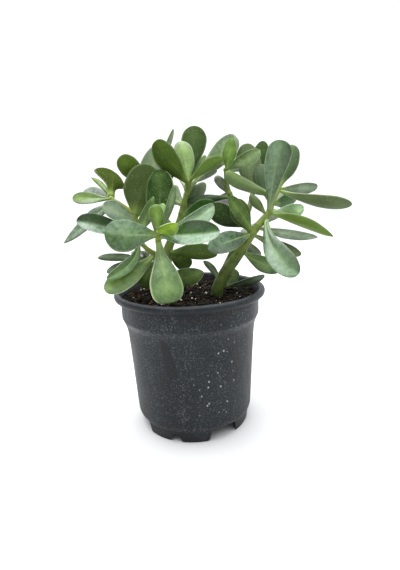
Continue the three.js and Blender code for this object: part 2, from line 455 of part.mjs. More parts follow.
    leaves: [
      { base: [43.5, 6.8, 230.7], tip: [32.5, 18.0, 249.5], face: [-0.308, 0.793, -0.525], width: 12.4, bow: 0.0, sway: [0.0, -0.0, 0.0], widest: 0.62, neck: 0.22, flare: 1.6, point: 0.46, cup: 0.14, fold: 0.00, tone: 5 },
      { base: [43.1, 7.3, 232.4], tip: [35.4, 58.0, 219.7], face: [-0.503, -0.320, -0.803], width: 18.0, bow: 4.0, sway: [-0.0, 0.0, 0.0], widest: 0.64, neck: 0.22, flare: 1.6, point: 0.46, cup: 0.14, fold: 0.00, tone: 2 },
    ] },
  { name: "leaf_pair_rear_right", collar: { at: [69.0, 17.0, 231.9], along: [0.285, 0.541, 0.791], radius: 4.34 },
    leaves: [
      { base: [68.2, 16.3, 232.7], tip: [64.1, 26.8, 279.9], face: [0.084, 0.976, -0.199], width: 24.5, bow: -0.2, sway: [0.0, -0.0, 0.0], widest: 0.62, neck: 0.22, flare: 1.6, point: 0.46, cup: 0.14, fold: 0.00, tone: 2 },
      { base: [69.4, 17.7, 233.0], tip: [86.7, 50.0, 284.8], face: [0.036, 0.841, -0.540], width: 18.8, bow: 0.0, sway: [0.0, -0.0, -0.0], widest: 0.60, neck: 0.34, flare: 1.1, point: 0.46, cup: 0.14, fold: 0.00, tone: 5 },
    ] },
  { name: "leaf_right_tall", collar: null,
    leaves: [
      { base: [79.7, -10.2, 213.2], tip: [86.6, -30.0, 274.2], face: [-0.134, -0.937, -0.322], width: 22.7, bow: 2.0, sway: [-3.8, 0.9, 0.8], widest: 0.84, neck: 0.20, flare: 2.0, point: 0.46, cup: 0.14, fold: 0.12, tone: 4 },
    ] },
  { name: "leaf_right_hanging", collar: null,
    leaves: [
      { base: [76.7, -11.4, 206.4], tip: [94.6, -58.0, 160.4], face: [-0.484, -0.748, 0.453], width: 22.2, bow: 5.0, sway: [-13.0, 2.4, -7.0], widest: 0.75, neck: 0.22, flare: 1.9, point: 0.46, cup: 0.14, fold: 0.10, tone: 3 },
    ] },
  { name: "leaf_pair_right_outer", collar: { at: [80.6, -9.0, 212.4], along: [0.696, 0.149, 0.703], radius: 4.92 },
    leaves: [
      { base: [81.8, -9.8, 211.4], tip: [111.2, -16.6, 215.0], face: [-0.123, -0.884, -0.452], width: 15.2, bow: 1.0, sway: [0.0, -0.0, -0.0], widest: 0.68, neck: 0.22, flare: 1.6, point: 0.46, cup: 0.14, fold: 0.15, tone: 1 },
      { base: [81.3, -9.9, 211.2], tip: [129.1, -45.0, 190.3], face: [0.612, 0.538, 0.579], width: 15.1, bow: 3.0, sway: [0.7, -0.1, 1.9], widest: 0.50, neck: 0.22, flare: 1.6, point: 0.75, cup: 0.14, fold: 0.00, tone: 2 },
    ] },
  { name: "leaf_pair_right_shaded", collar: { at: [83.2, -5.3, 220.2], along: [0.371, 0.355, 0.858], radius: 4.92 },
    leaves: [
      { base: [81.7, -4.6, 220.5], tip: [77.7, 19.1, 258.9], face: [0.012, 0.892, -0.451], width: 17.4, bow: 0.6, sway: [0.0, -0.0, 0.0], widest: 0.62, neck: 0.22, flare: 1.6, point: 0.46, cup: 0.14, fold: 0.00, tone: 4 },
      { base: [84.2, -4.3, 219.4], tip: [118.1, 30.0, 224.0], face: [-0.654, 0.726, 0.211], width: 15.4, bow: 0.0, sway: [0.0, -0.0, -0.0], widest: 0.62, neck: 0.22, flare: 1.6, point: 0.46, cup: 0.14, fold: 0.00, tone: 4 },
    ] },
  { name: "leaf_pair_right_tip", collar: { at: [91.4, 0.0, 234.5], along: [0.509, 0.288, 0.811], radius: 4.33 },
    leaves: [
      { base: [91.0, 1.3, 234.3], tip: [115.1, 30.0, 276.6], face: [-0.151, 0.849, -0.507], width: 23.2, bow: 0.0, sway: [-1.8, 0.4, 0.7], widest: 0.62, neck: 0.22, flare: 1.6, point: 0.46, cup: 0.14, fold: 0.00, tone: 2 },
      { base: [92.4, 0.4, 233.7], tip: [136.2, 20.0, 234.2], face: [0.389, -0.846, -0.364], width: 12.2, bow: 1.0, sway: [-0.0, 0.0, -0.0], widest: 0.60, neck: 0.22, flare: 1.6, point: 0.46, cup: 0.14, fold: 0.15, tone: 3 },
    ] },
  { name: "leaf_right_long", collar: null,
    leaves: [
      { base: [91.3, -1.4, 232.0], tip: [150.9, -30.0, 217.3], face: [0.485, 0.698, 0.527], width: 15.0, bow: 3.0, sway: [-1.7, 0.5, -7.8], widest: 0.68, neck: 0.22, flare: 1.6, point: 0.46, cup: 0.14, fold: 0.00, tone: 6 },
    ] },
  { name: "leaf_right_underside", collar: null,
    leaves: [
      { base: [85.3, -3.4, 227.4], tip: [35.6, -30.0, 247.9], face: [-0.599, 0.794, -0.105], width: 13.2, bow: 1.0, sway: [-0.8, 0.2, -1.8], widest: 0.78, neck: 0.22, flare: 1.2, point: 0.46, cup: 0.14, fold: 0.00, tone: 3 },
    ] },
  { name: "leaf_right_rear", collar: null,
    leaves: [
      { base: [82.5, -4.5, 217.8], tip: [103.8, 64.0, 240.1], face: [0.381, -0.444, 0.811], width: 21.6, bow: 2.0, sway: [0.0, -0.0, -0.0], widest: 0.64, neck: 0.22, flare: 1.6, point: 0.46, cup: 0.14, fold: 0.00, tone: 2 },
    ] },
  { name: "leaf_pair_right_low", collar: { at: [68.5, -11.5, 199.9], along: [0.679, 0.125, 0.723], radius: 5.80 },
    leaves: [
      { base: [68.8, -10.7, 197.4], tip: [139.8, 24.0, 181.9], face: [0.218, -0.725, -0.653], width: 13.3, bow: 1.0, sway: [-0.0, -0.0, -0.0], widest: 0.50, neck: 0.22, flare: 1.6, point: 0.70, cup: 0.14, fold: 0.15, tone: 4 },
      { base: [68.8, -9.4, 199.3], tip: [105.0, 54.0, 210.3], face: [0.413, -0.383, 0.826], width: 14.5, bow: 4.0, sway: [0.0, -0.0, -0.0], widest: 0.64, neck: 0.22, flare: 1.6, point: 0.46, cup: 0.14, fold: 0.00, tone: 2 },
    ] },
  { name: "leaf_right_olive", collar: null,
    leaves: [
      { base: [63.8, -10.6, 191.4], tip: [124.4, 34.0, 161.7], face: [0.267, -0.751, -0.604], width: 14.5, bow: 0.0, sway: [-0.0, -0.0, -0.0], widest: 0.62, neck: 0.22, flare: 1.6, point: 0.46, cup: 0.14, fold: 0.00, tone: 6 },
    ] },
  { name: "leaf_right_lower", collar: null,
    leaves: [
      { base: [53.9, -12.7, 175.6], tip: [87.9, -26.0, 159.0], face: [-0.655, -0.755, 0.016], width: 16.1, bow: 3.0, sway: [-1.4, -0.2, -2.6], widest: 0.62, neck: 0.22, flare: 1.6, point: 0.46, cup: 0.14, fold: 0.15, tone: 2 },
    ] },
  { name: "leaf_right_small", collar: null,
    leaves: [
      { base: [58.7, -11.0, 184.9], tip: [73.8, 20.0, 165.1], face: [-0.165, -0.496, -0.852], width: 14.2, bow: 0.0, sway: [-0.0, 0.0, -0.0], widest: 0.62, neck: 0.22, flare: 1.6, point: 0.46, cup: 0.14, fold: 0.00, tone: 5 },
    ] },
  { name: "leaf_right_rear_low", collar: null,
    leaves: [
      { base: [58.8, -8.7, 189.0], tip: [72.3, 56.0, 194.8], face: [-0.415, -0.071, 0.907], width: 18.1, bow: 4.0, sway: [0.0, -0.0, 0.0], widest: 0.64, neck: 0.22, flare: 1.6, point: 0.46, cup: 0.14, fold: 0.00, tone: 2 },
    ] },
  { name: "leaf_inner_broad", collar: null,
    leaves: [
      { base: [60.1, -14.5, 192.3], tip: [17.5, -50.0, 184.2], face: [0.442, -0.735, 0.515], width: 19.7, bow: 3.0, sway: [-0.0, 0.0, 0.0], widest: 0.66, neck: 0.22, flare: 1.6, point: 0.46, cup: 0.14, fold: 0.26, tone: 4 },
    ] },
  { name: "leaf_pair_inner_upright", collar: { at: [62.9, -12.5, 193.4], along: [0.601, 0.119, 0.790], radius: 6.08 },
    leaves: [
      { base: [61.0, -12.6, 194.5], tip: [44.8, -19.9, 225.1], face: [-0.310, 0.947, 0.085], width: 20.1, bow: -0.4, sway: [0.0, -0.0, 0.0], widest: 0.62, neck: 0.22, flare: 1.6, point: 0.46, cup: 0.14, fold: 0.00, tone: 5 },
      { base: [62.3, -13.5, 195.8], tip: [38.4, -36.0, 228.0], face: [0.516, -0.841, -0.165], width: 14.1, bow: 1.0, sway: [0.0, -0.0, 0.0], widest: 0.62, neck: 0.22, flare: 1.6, point: 0.46, cup: 0.14, fold: 0.00, tone: 2 },
    ] },
  { name: "leaf_inner_long", collar: null,
    leaves: [
      { base: [44.2, 4.6, 227.3], tip: [0.6, 1.5, 225.9], face: [0.013, 0.734, -0.679], width: 11.9, bow: -2.9, sway: [-0.0, 0.0, 0.0], widest: 0.62, neck: 0.22, flare: 1.6, point: 0.46, cup: 0.14, fold: 0.00, tone: 5 },
    ] },
  { name: "leaf_inner_dark", collar: null,
    leaves: [
      { base: [58.0, -9.7, 199.7], tip: [21.4, -22.0, 219.8], face: [-0.389, 0.919, -0.054], width: 20.5, bow: 0.0, sway: [0.0, -0.0, 0.0], widest: 0.62, neck: 0.22, flare: 1.6, point: 0.46, cup: 0.14, fold: 0.00, tone: 5 },
    ] },
  { name: "leaf_right_edge_on", collar: null,
    leaves: [
      { base: [76.3, -9.2, 210.5], tip: [63.0, -2.0, 229.0], face: [-0.256, 0.923, -0.286], width: 10.6, bow: 0.0, sway: [0.0, -0.0, 0.0], widest: 0.62, neck: 0.22, flare: 1.6, point: 0.46, cup: 0.14, fold: 0.00, tone: 5 },
    ] },
  { name: "leaf_pair_base", collar: { at: [35.4, -12.4, 140.8], along: [0.410, 0.087, 0.908], radius: 2.60 },
    leaves: [
      { base: [34.3, -12.4, 141.3], tip: [71.3, -28.0, 154.9], face: [-0.087, -0.695, -0.714], width: 12.7, bow: 2.0, sway: [0.0, -0.0, -0.0], widest: 0.62, neck: 0.22, flare: 1.6, point: 0.46, cup: 0.14, fold: 0.15, tone: 5 },
      { base: [34.3, -12.4, 141.3], tip: [50.7, 8.7, 153.2], face: [0.468, -0.683, 0.560], width: 12.9, bow: -0.6, sway: [0.0, -0.0, -0.0], widest: 0.62, neck: 0.22, flare: 1.6, point: 0.46, cup: 0.14, fold: 0.00, tone: 2 },
    ] },
  { name: "leaf_base_rear", collar: null,
    leaves: [
      { base: [30.3, -9.1, 148.8], tip: [18.0, 26.0, 162.4], face: [0.325, -0.405, 0.854], width: 11.5, bow: 0.0, sway: [0.0, 0.0, 0.0], widest: 0.62, neck: 0.22, flare: 1.6, point: 0.46, cup: 0.14, fold: 0.00, tone: 4 },
    ] },
];

function section(t, leaf) {
  const { widest, neck, flare, width, point } = leaf;
  let s;
  if (t <= widest)
    s = neck + (1 - neck) * Math.pow(Math.sin((Math.PI / 2) * (t / widest)), flare);
  else {
    const u = (t - widest) / (1 - widest);
    s = Math.pow(Math.max(0, 1 - u * u), point);
  }
  const cap = Math.sqrt(Math.max(0, 1 - Math.pow(1 - Math.min(t / 0.05, 1), 2)));
  const w = (width / 2) * s * cap;
  const h0 = Math.min(2.3, 0.085 * width + 0.6);
  const end = Math.sqrt(Math.max(0, 1 - Math.pow(Math.max(0, (t - 0.55) / 0.45), 2)));
  let h = h0 * (0.95 + 0.25 * Math.max(0, 1 - t / 0.3)) * end * cap;
  if (t < 0.5) h = Math.min(h, w * 0.95);
  return { w, h };
}

// A fleshy blade, made by bending and flattening a sphere whose poles are its base and tip.
function leafGeometry(leaf, grow = 0) {
  const B = V(leaf.base);
  const T = V(leaf.tip);
  const N = V(leaf.face);
  const M = B.clone()
    .add(T)
    .multiplyScalar(0.5)
    .addScaledVector(N, leaf.bow)
    .add(V(leaf.sway));
  const g = new THREE.SphereGeometry(1, LEAF_ROUND, LEAF_LONG);
  const p = g.getAttribute("position");
  for (let i = 0; i < p.count; i++) {
    const y = THREE.MathUtils.clamp(p.getY(i), -1, 1);
    const t = (1 - y) / 2;
    const ring = Math.sqrt(Math.max(0, 1 - y * y));
    const cos = ring > 1e-6 ? p.getX(i) / ring : 1;
    const sin = ring > 1e-6 ? p.getZ(i) / ring : 0;
    const at = B.clone()
      .multiplyScalar((1 - t) * (1 - t))
      .addScaledVector(M, 2 * t * (1 - t))
      .addScaledVector(T, t * t);
    const d = M.clone()
      .sub(B)
      .multiplyScalar(1 - t)
      .addScaledVector(T.clone().sub(M), t)
      .normalize();
    const n = N.clone().addScaledVector(d, -N.dot(d)).normalize();
    const side = n.clone().cross(d);
    const { w, h } = section(t, leaf);
    const gw = ring > 1e-6 ? w + grow * Math.min(1, w) : 0;
    const gh = ring > 1e-6 ? h + grow * Math.min(1, w) : 0;
    const x = gw * cos;
    at.addScaledVector(side, x);
    const crease = leaf.fold * Math.min(1, t / 0.35) * (Math.hypot(x, 0.9) - 0.9);
    at.addScaledVector(n, gh * sin + (leaf.cup * x * x) / (leaf.width / 2) + crease);
    if (ring <= 1e-6) at.addScaledVector(d, y > 0 ? -grow : grow);
    p.setXYZ(i, at.x, at.y, at.z);
  }
  return g;
}

// The swollen ring on the stem that joins an opposite pair of leaves.
function collarGeometry(collar, grow = 0) {
  const g = new THREE.SphereGeometry(1, 8, 4);
  g.scale(collar.radius + grow, 0.6 * collar.radius + grow, collar.radius + grow);
  g.applyQuaternion(
    new THREE.Quaternion().setFromUnitVectors(
      new THREE.Vector3(0, 1, 0),
      V(collar.along).normalize(),
    ),
  );
  g.translate(...collar.at);
  return g;
}

function joinLeaves(entry, grow = 0) {
  let out = null;
  for (const leaf of entry.leaves) {
    const s = toSolid(leafGeometry(leaf, grow));
    out = out ? out.add(s) : s;
  }
  if (entry.collar) out = out.add(toSolid(collarGeometry(entry.collar, grow)));
  return out;
}

// ---- soil -------------------------------------------------------------------
function makeSoil(stemsGrown) {
  const top = SOIL_LEVEL;
  const side = INNER.slice()
    .reverse()
    .filter(([, z], i) => z < top - 2 && i !== 2 && i !== 4)
    .map(([r, z]) => [r - GAP - 0.1, z === FLOOR_TOP ? FLOOR_TOP + GAP : z]);
  const profile = [
    [0, 1.5 + GAP],
    [14.3 - GAP, 1.5 + GAP],
    [15.4 - GAP, 13.6 + GAP],
    [17.6, FLOOR_TOP + GAP],
    ...side,
    [68.1 - GAP - 0.1, top - 1],
    [58, top],
    [40, top],
    [20, top],
    [0, top],
  ];
  const g = lathe(profile);
  const p = g.getAttribute("position");
  const next = seeded(7);
  const bump = new Map();
  for (let i = 0; i < p.count; i++) {
    const r = Math.hypot(p.getX(i), p.getY(i));
    if (Math.abs(p.getZ(i) - top) > 0.01 || r < 1) continue;
    const key = Math.round(p.getX(i) * 20) + "," + Math.round(p.getY(i) * 20);
    if (!bump.has(key)) bump.set(key, (next() - 0.5) * 2 * SOIL_BUMP);
    p.setZ(i, p.getZ(i) + bump.get(key));
  }
  let soil = toSolid(g);
  if (soil.volume() < 0) {
    const a = g.index.array;
    for (let i = 0; i < a.length; i += 3) [a[i + 1], a[i + 2]] = [a[i + 2], a[i + 1]];
    soil = toSolid(g);
  }
  return mainBody(soil.subtract(stemsGrown));
}

// ---- assembly ---------------------------------------------------------------
const LEFT = ["trunk_left", "front_stem", "left_branch", "rear_left_branch", "rear_branch"];
const RIGHT = ["trunk_right", "fork_right", "upper_right", "right_tip_stem", "rear_right_branch"];

const group = new THREE.Group();
group.name = "potted_jade_plant";

function addPiece(name, solid, color, roughness) {
  const mesh = new THREE.Mesh(
    toGeometry(solid),
    new THREE.MeshStandardMaterial({ color, roughness, metalness: 0 }),
  );
  mesh.name = name;
  group.add(mesh);
}

const pot = makePot();
const stemLeft = mainBody(joinStems(LEFT));
const stemRight = mainBody(joinStems(RIGHT));
const stemLeftGrown = joinStems(LEFT, GAP);
const stemRightGrown = joinStems(RIGHT, GAP);
const stemsGrown = stemLeftGrown.add(stemRightGrown);
const soil = makeSoil(stemsGrown);

addPiece("pot", pot, 0x33373b, 0.62);
addPiece("soil", soil, 0x2c2019, 0.95);
addPiece("stem_left", stemLeft, 0x6f8a3a, 0.55);
addPiece("stem_right", stemRight.subtract(stemLeftGrown), 0x5c7a35, 0.55);

const TONES = [0x8fb43a, 0x7aa544, 0x4f7d35, 0x86a98a, 0x8fada6, 0x2f4f22, 0x6b7a3a];
const placed = [];
for (const entry of LEAVES) {
  let solid = joinLeaves(entry).subtract(stemsGrown);
  const box = solid.boundingBox();
  for (const other of placed) {
    const b = other.box;
    if ([0, 1, 2].some((k) => box.min[k] > b.max[k] + 1 || b.min[k] > box.max[k] + 1))
      continue;
    solid = solid.subtract(other.grown);
  }
  solid = mainBody(solid);
  placed.push({ box, grown: joinLeaves(entry, GAP) });
  addPiece(entry.name, solid, TONES[entry.leaves[0].tone], 0.4);
}

export default group;
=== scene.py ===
"""Looks for the potted jade plant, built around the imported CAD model. Metres, +Z up, camera on the -Y side."""
import math
import random

import bpy
import bmesh
import numpy as np
from mathutils import Matrix, Vector, kdtree, noise


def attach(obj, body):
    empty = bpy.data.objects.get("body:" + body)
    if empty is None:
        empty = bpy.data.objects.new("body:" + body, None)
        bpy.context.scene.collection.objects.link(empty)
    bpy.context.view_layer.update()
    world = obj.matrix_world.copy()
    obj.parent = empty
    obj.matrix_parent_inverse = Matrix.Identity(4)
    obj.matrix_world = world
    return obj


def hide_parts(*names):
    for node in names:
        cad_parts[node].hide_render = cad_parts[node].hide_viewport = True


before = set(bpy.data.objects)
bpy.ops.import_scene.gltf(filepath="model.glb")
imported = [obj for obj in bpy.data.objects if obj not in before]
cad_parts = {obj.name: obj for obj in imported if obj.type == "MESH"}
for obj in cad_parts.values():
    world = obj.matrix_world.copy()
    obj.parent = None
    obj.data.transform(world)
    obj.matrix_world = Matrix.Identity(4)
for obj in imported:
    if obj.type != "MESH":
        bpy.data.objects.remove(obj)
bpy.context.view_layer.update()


MM = 0.001

# ---------------------------------------------------------------------------
# Mesh helpers
# ---------------------------------------------------------------------------


def mesh_object(name, verts, faces, smooth=True):
    """A new mesh object from vertices in millimetres."""
    mesh = bpy.data.meshes.new(name)
    v = np.asarray(verts, float) * MM
    mesh.from_pydata([tuple(p) for p in v], [], [tuple(int(i) for i in f) for f in faces])
    mesh.validate()
    mesh.update()
    if smooth:
        mesh.polygons.foreach_set("use_smooth", [True] * len(mesh.polygons))
    ob = bpy.data.objects.new(name, mesh)
    bpy.context.scene.collection.objects.link(ob)
    return ob


def put_float(ob, name, values):
    a = ob.data.attributes.new(name, "FLOAT", "POINT")
    a.data.foreach_set("value", np.asarray(values, np.float32).ravel())


def put_colour(ob, name, values):
    a = ob.data.attributes.new(name, "FLOAT_COLOR", "POINT")
    v = np.asarray(values, np.float32).reshape(-1, 3)
    a.data.foreach_set("color", np.hstack([v, np.ones((len(v), 1), np.float32)]).ravel())


def outward(ob):
    bm = bmesh.new()
    bm.from_mesh(ob.data)
    bmesh.ops.recalc_face_normals(bm, faces=bm.faces)
    bm.to_mesh(ob.data)
    bm.free()


def bake_modifiers(ob):
    """The object's evaluated mesh takes the place of its mesh, and its modifiers go."""
    dg = bpy.context.evaluated_depsgraph_get()
    made = bpy.data.meshes.new_from_object(ob.evaluated_get(dg), depsgraph=dg)
    old = ob.data
    ob.modifiers.clear()
    ob.data = made
    bpy.data.meshes.remove(old)
    return ob


def unit(v):
    v = np.asarray(v, float)
    return v / max(np.linalg.norm(v), 1e-9)


def smooth01(x):
    x = np.clip(x, 0, 1)
    return x * x * (3 - 2 * x)


def wave(p, scale, seed=0.0):
    """Smooth noise from about -1 to 1 at a point in millimetres."""
    return noise.noise(Vector((p[0] * scale + seed, p[1] * scale - seed, p[2] * scale + 0.37 * seed)))


def colour(r, g, b):
    """sRGB 0-255 to linear."""
    out = []
    for c in (r, g, b):
        c /= 255.0
        out.append(c / 12.92 if c <= 0.04045 else ((c + 0.055) / 1.055) ** 2.4)
    return out


# ---------------------------------------------------------------------------
# Node helper
# ---------------------------------------------------------------------------


class Nodes:
    """Short ways to write a material's node tree."""

    def __init__(self, name):
        self.mat = bpy.data.materials.new(name)
        self.mat.use_nodes = True
        self.tree = self.mat.node_tree
        self.tree.nodes.clear()
        self.out = self.tree.nodes.new("ShaderNodeOutputMaterial")
        self.bsdf = self.tree.nodes.new("ShaderNodeBsdfPrincipled")
        self.tree.links.new(self.bsdf.outputs[0], self.out.inputs[0])

    def _in(self, socket, value):
        if isinstance(value, bpy.types.NodeSocket):
            self.tree.links.new(value, socket)
        elif isinstance(value, (tuple, list)) and len(value) == 3 and socket.type == "RGBA":
            socket.default_value = (*value, 1.0)
        else:
            socket.default_value = value

    def attr(self, name, what="Fac"):
        n = self.tree.nodes.new("ShaderNodeAttribute")
        n.attribute_type = "GEOMETRY"
        n.attribute_name = name
        return n.outputs[what]

    def coords(self):
        n = self.tree.nodes.new("ShaderNodeTexCoord")
        return n.outputs["Object"]

    def scaled(self, vector, by, move=(0, 0, 0)):
        n = self.tree.nodes.new("ShaderNodeMapping")
        self._in(n.inputs["Vector"], vector)
        n.inputs["Scale"].default_value = by if isinstance(by, (tuple, list)) else (by, by, by)
        n.inputs["Location"].default_value = move
        return n.outputs[0]

    def noise(self, vector, scale, detail=3.0, rough=0.55, distort=0.0):
        n = self.tree.nodes.new("ShaderNodeTexNoise")
        self._in(n.inputs["Vector"], vector)
        n.inputs["Scale"].default_value = scale
        n.inputs["Detail"].default_value = detail
        n.inputs["Roughness"].default_value = rough
        n.inputs["Distortion"].default_value = distort
        return n.outputs[0]

    def voronoi(self, vector, scale, feature="F1", out="Distance", rand=1.0):
        n = self.tree.nodes.new("ShaderNodeTexVoronoi")
        n.feature = feature
        self._in(n.inputs["Vector"], vector)
        n.inputs["Scale"].default_value = scale
        n.inputs["Randomness"].default_value = rand
        return n.outputs[out]

    def math(self, op, a, b=0.0, c=0.0, clamp=False):
        n = self.tree.nodes.new("ShaderNodeMath")
        n.operation = op
        n.use_clamp = clamp
        self._in(n.inputs[0], a)
        self._in(n.inputs[1], b)
        self._in(n.inputs[2], c)
        return n.outputs[0]

    def ramp(self, value, lo, hi, out_lo=0.0, out_hi=1.0):
        """Smooth step of value from lo to hi."""
        n = self.tree.nodes.new("ShaderNodeMapRange")
        n.interpolation_type = "SMOOTHSTEP"
        self._in(n.inputs["Value"], value)
        n.inputs["From Min"].default_value = lo
        n.inputs["From Max"].default_value = hi
        n.inputs["To Min"].default_value = out_lo
        n.inputs["To Max"].default_value = out_hi
        return n.outputs[0]

    def mix(self, fac, a, b, blend="MIX"):
        n = self.tree.nodes.new("ShaderNodeMix")
        n.data_type = "RGBA"
        n.blend_type = blend
        self._in(n.inputs["Factor"], fac)
        self._in(n.inputs["A"], a) if False else self._in(n.inputs[6], a)
        self._in(n.inputs[7], b)
        return n.outputs[2]

    def xyz(self, vector):
        n = self.tree.nodes.new("ShaderNodeSeparateXYZ")
        self._in(n.inputs[0], vector)
        return n.outputs[0], n.outputs[1], n.outputs[2]

    def bump(self, height, strength, distance, normal=None):
        n = self.tree.nodes.new("ShaderNodeBump")
        n.inputs["Strength"].default_value = strength
        n.inputs["Distance"].default_value = distance
        self._in(n.inputs["Height"], height)
        if normal is not None:
            self._in(n.inputs["Normal"], normal)
        return n.outputs[0]

    def set(self, **values):
        for key, value in values.items():
            self._in(self.bsdf.inputs[key.replace("_", " ")], value)


# ---------------------------------------------------------------------------
# Leaves: the same midribs, widths and outlines as the CAD leaves, in millimetres
# ---------------------------------------------------------------------------

# Upper-face colour, bloom (dusty wax, which also carries painted sheen) from 0 to 1, and strength of the pale dots, by
# kind of leaf
TONES = {
    # tone 0 is near black: the leaf's grey-green painted down into shade
    0: dict(rgb=colour(13, 17, 13), bloom_and_sheen=0.00, dots=0.60),   # deep grey-green
    1: dict(rgb=colour(33, 67, 14), bloom_and_sheen=0.22, dots=0.38),   # deep green
    2: dict(rgb=colour(49, 62, 22), bloom_and_sheen=0.00, dots=0.60),   # deep green
    3: dict(rgb=colour(39, 73, 20), bloom_and_sheen=0.25, dots=0.35),   # deep green
    4: dict(rgb=colour(49, 68, 35), bloom_and_sheen=0.00, dots=0.60),   # deep green
    5: dict(rgb=colour(54, 77, 13), bloom_and_sheen=0.00, dots=0.60),   # mid green
    6: dict(rgb=colour(56, 74, 39), bloom_and_sheen=0.00, dots=0.60),   # deep green
    7: dict(rgb=colour(54, 79, 38), bloom_and_sheen=0.00, dots=0.60),   # mid green
    8: dict(rgb=colour(71, 89, 47), bloom_and_sheen=0.01, dots=0.59),   # mid green
    9: dict(rgb=colour(63, 100, 32), bloom_and_sheen=0.30, dots=0.30),   # mid green
    10: dict(rgb=colour(73, 97, 39), bloom_and_sheen=0.07, dots=0.53),   # mid green
    11: dict(rgb=colour(78, 104, 69), bloom_and_sheen=0.16, dots=0.44),   # mid grey-green
    12: dict(rgb=colour(86, 114, 34), bloom_and_sheen=0.06, dots=0.54),   # pale green
    13: dict(rgb=colour(91, 117, 59), bloom_and_sheen=0.00, dots=0.60),   # pale green
    14: dict(rgb=colour(94, 110, 89), bloom_and_sheen=0.20, dots=0.40),   # pale silvery green
    15: dict(rgb=colour(94, 120, 73), bloom_and_sheen=0.02, dots=0.58),   # pale grey-green
    16: dict(rgb=colour(102, 122, 82), bloom_and_sheen=0.07, dots=0.53),   # pale grey-green
    17: dict(rgb=colour(114, 149, 29), bloom_and_sheen=0.00, dots=0.60),   # pale green
    # tones 18 and 19: pale leaf green with painted sheen in the colour
    18: dict(rgb=colour(148, 179, 143), bloom_and_sheen=0.30, dots=0.30),   # pale silvery green
    19: dict(rgb=colour(170, 200, 158), bloom_and_sheen=0.00, dots=0.60),   # pale silvery green
}
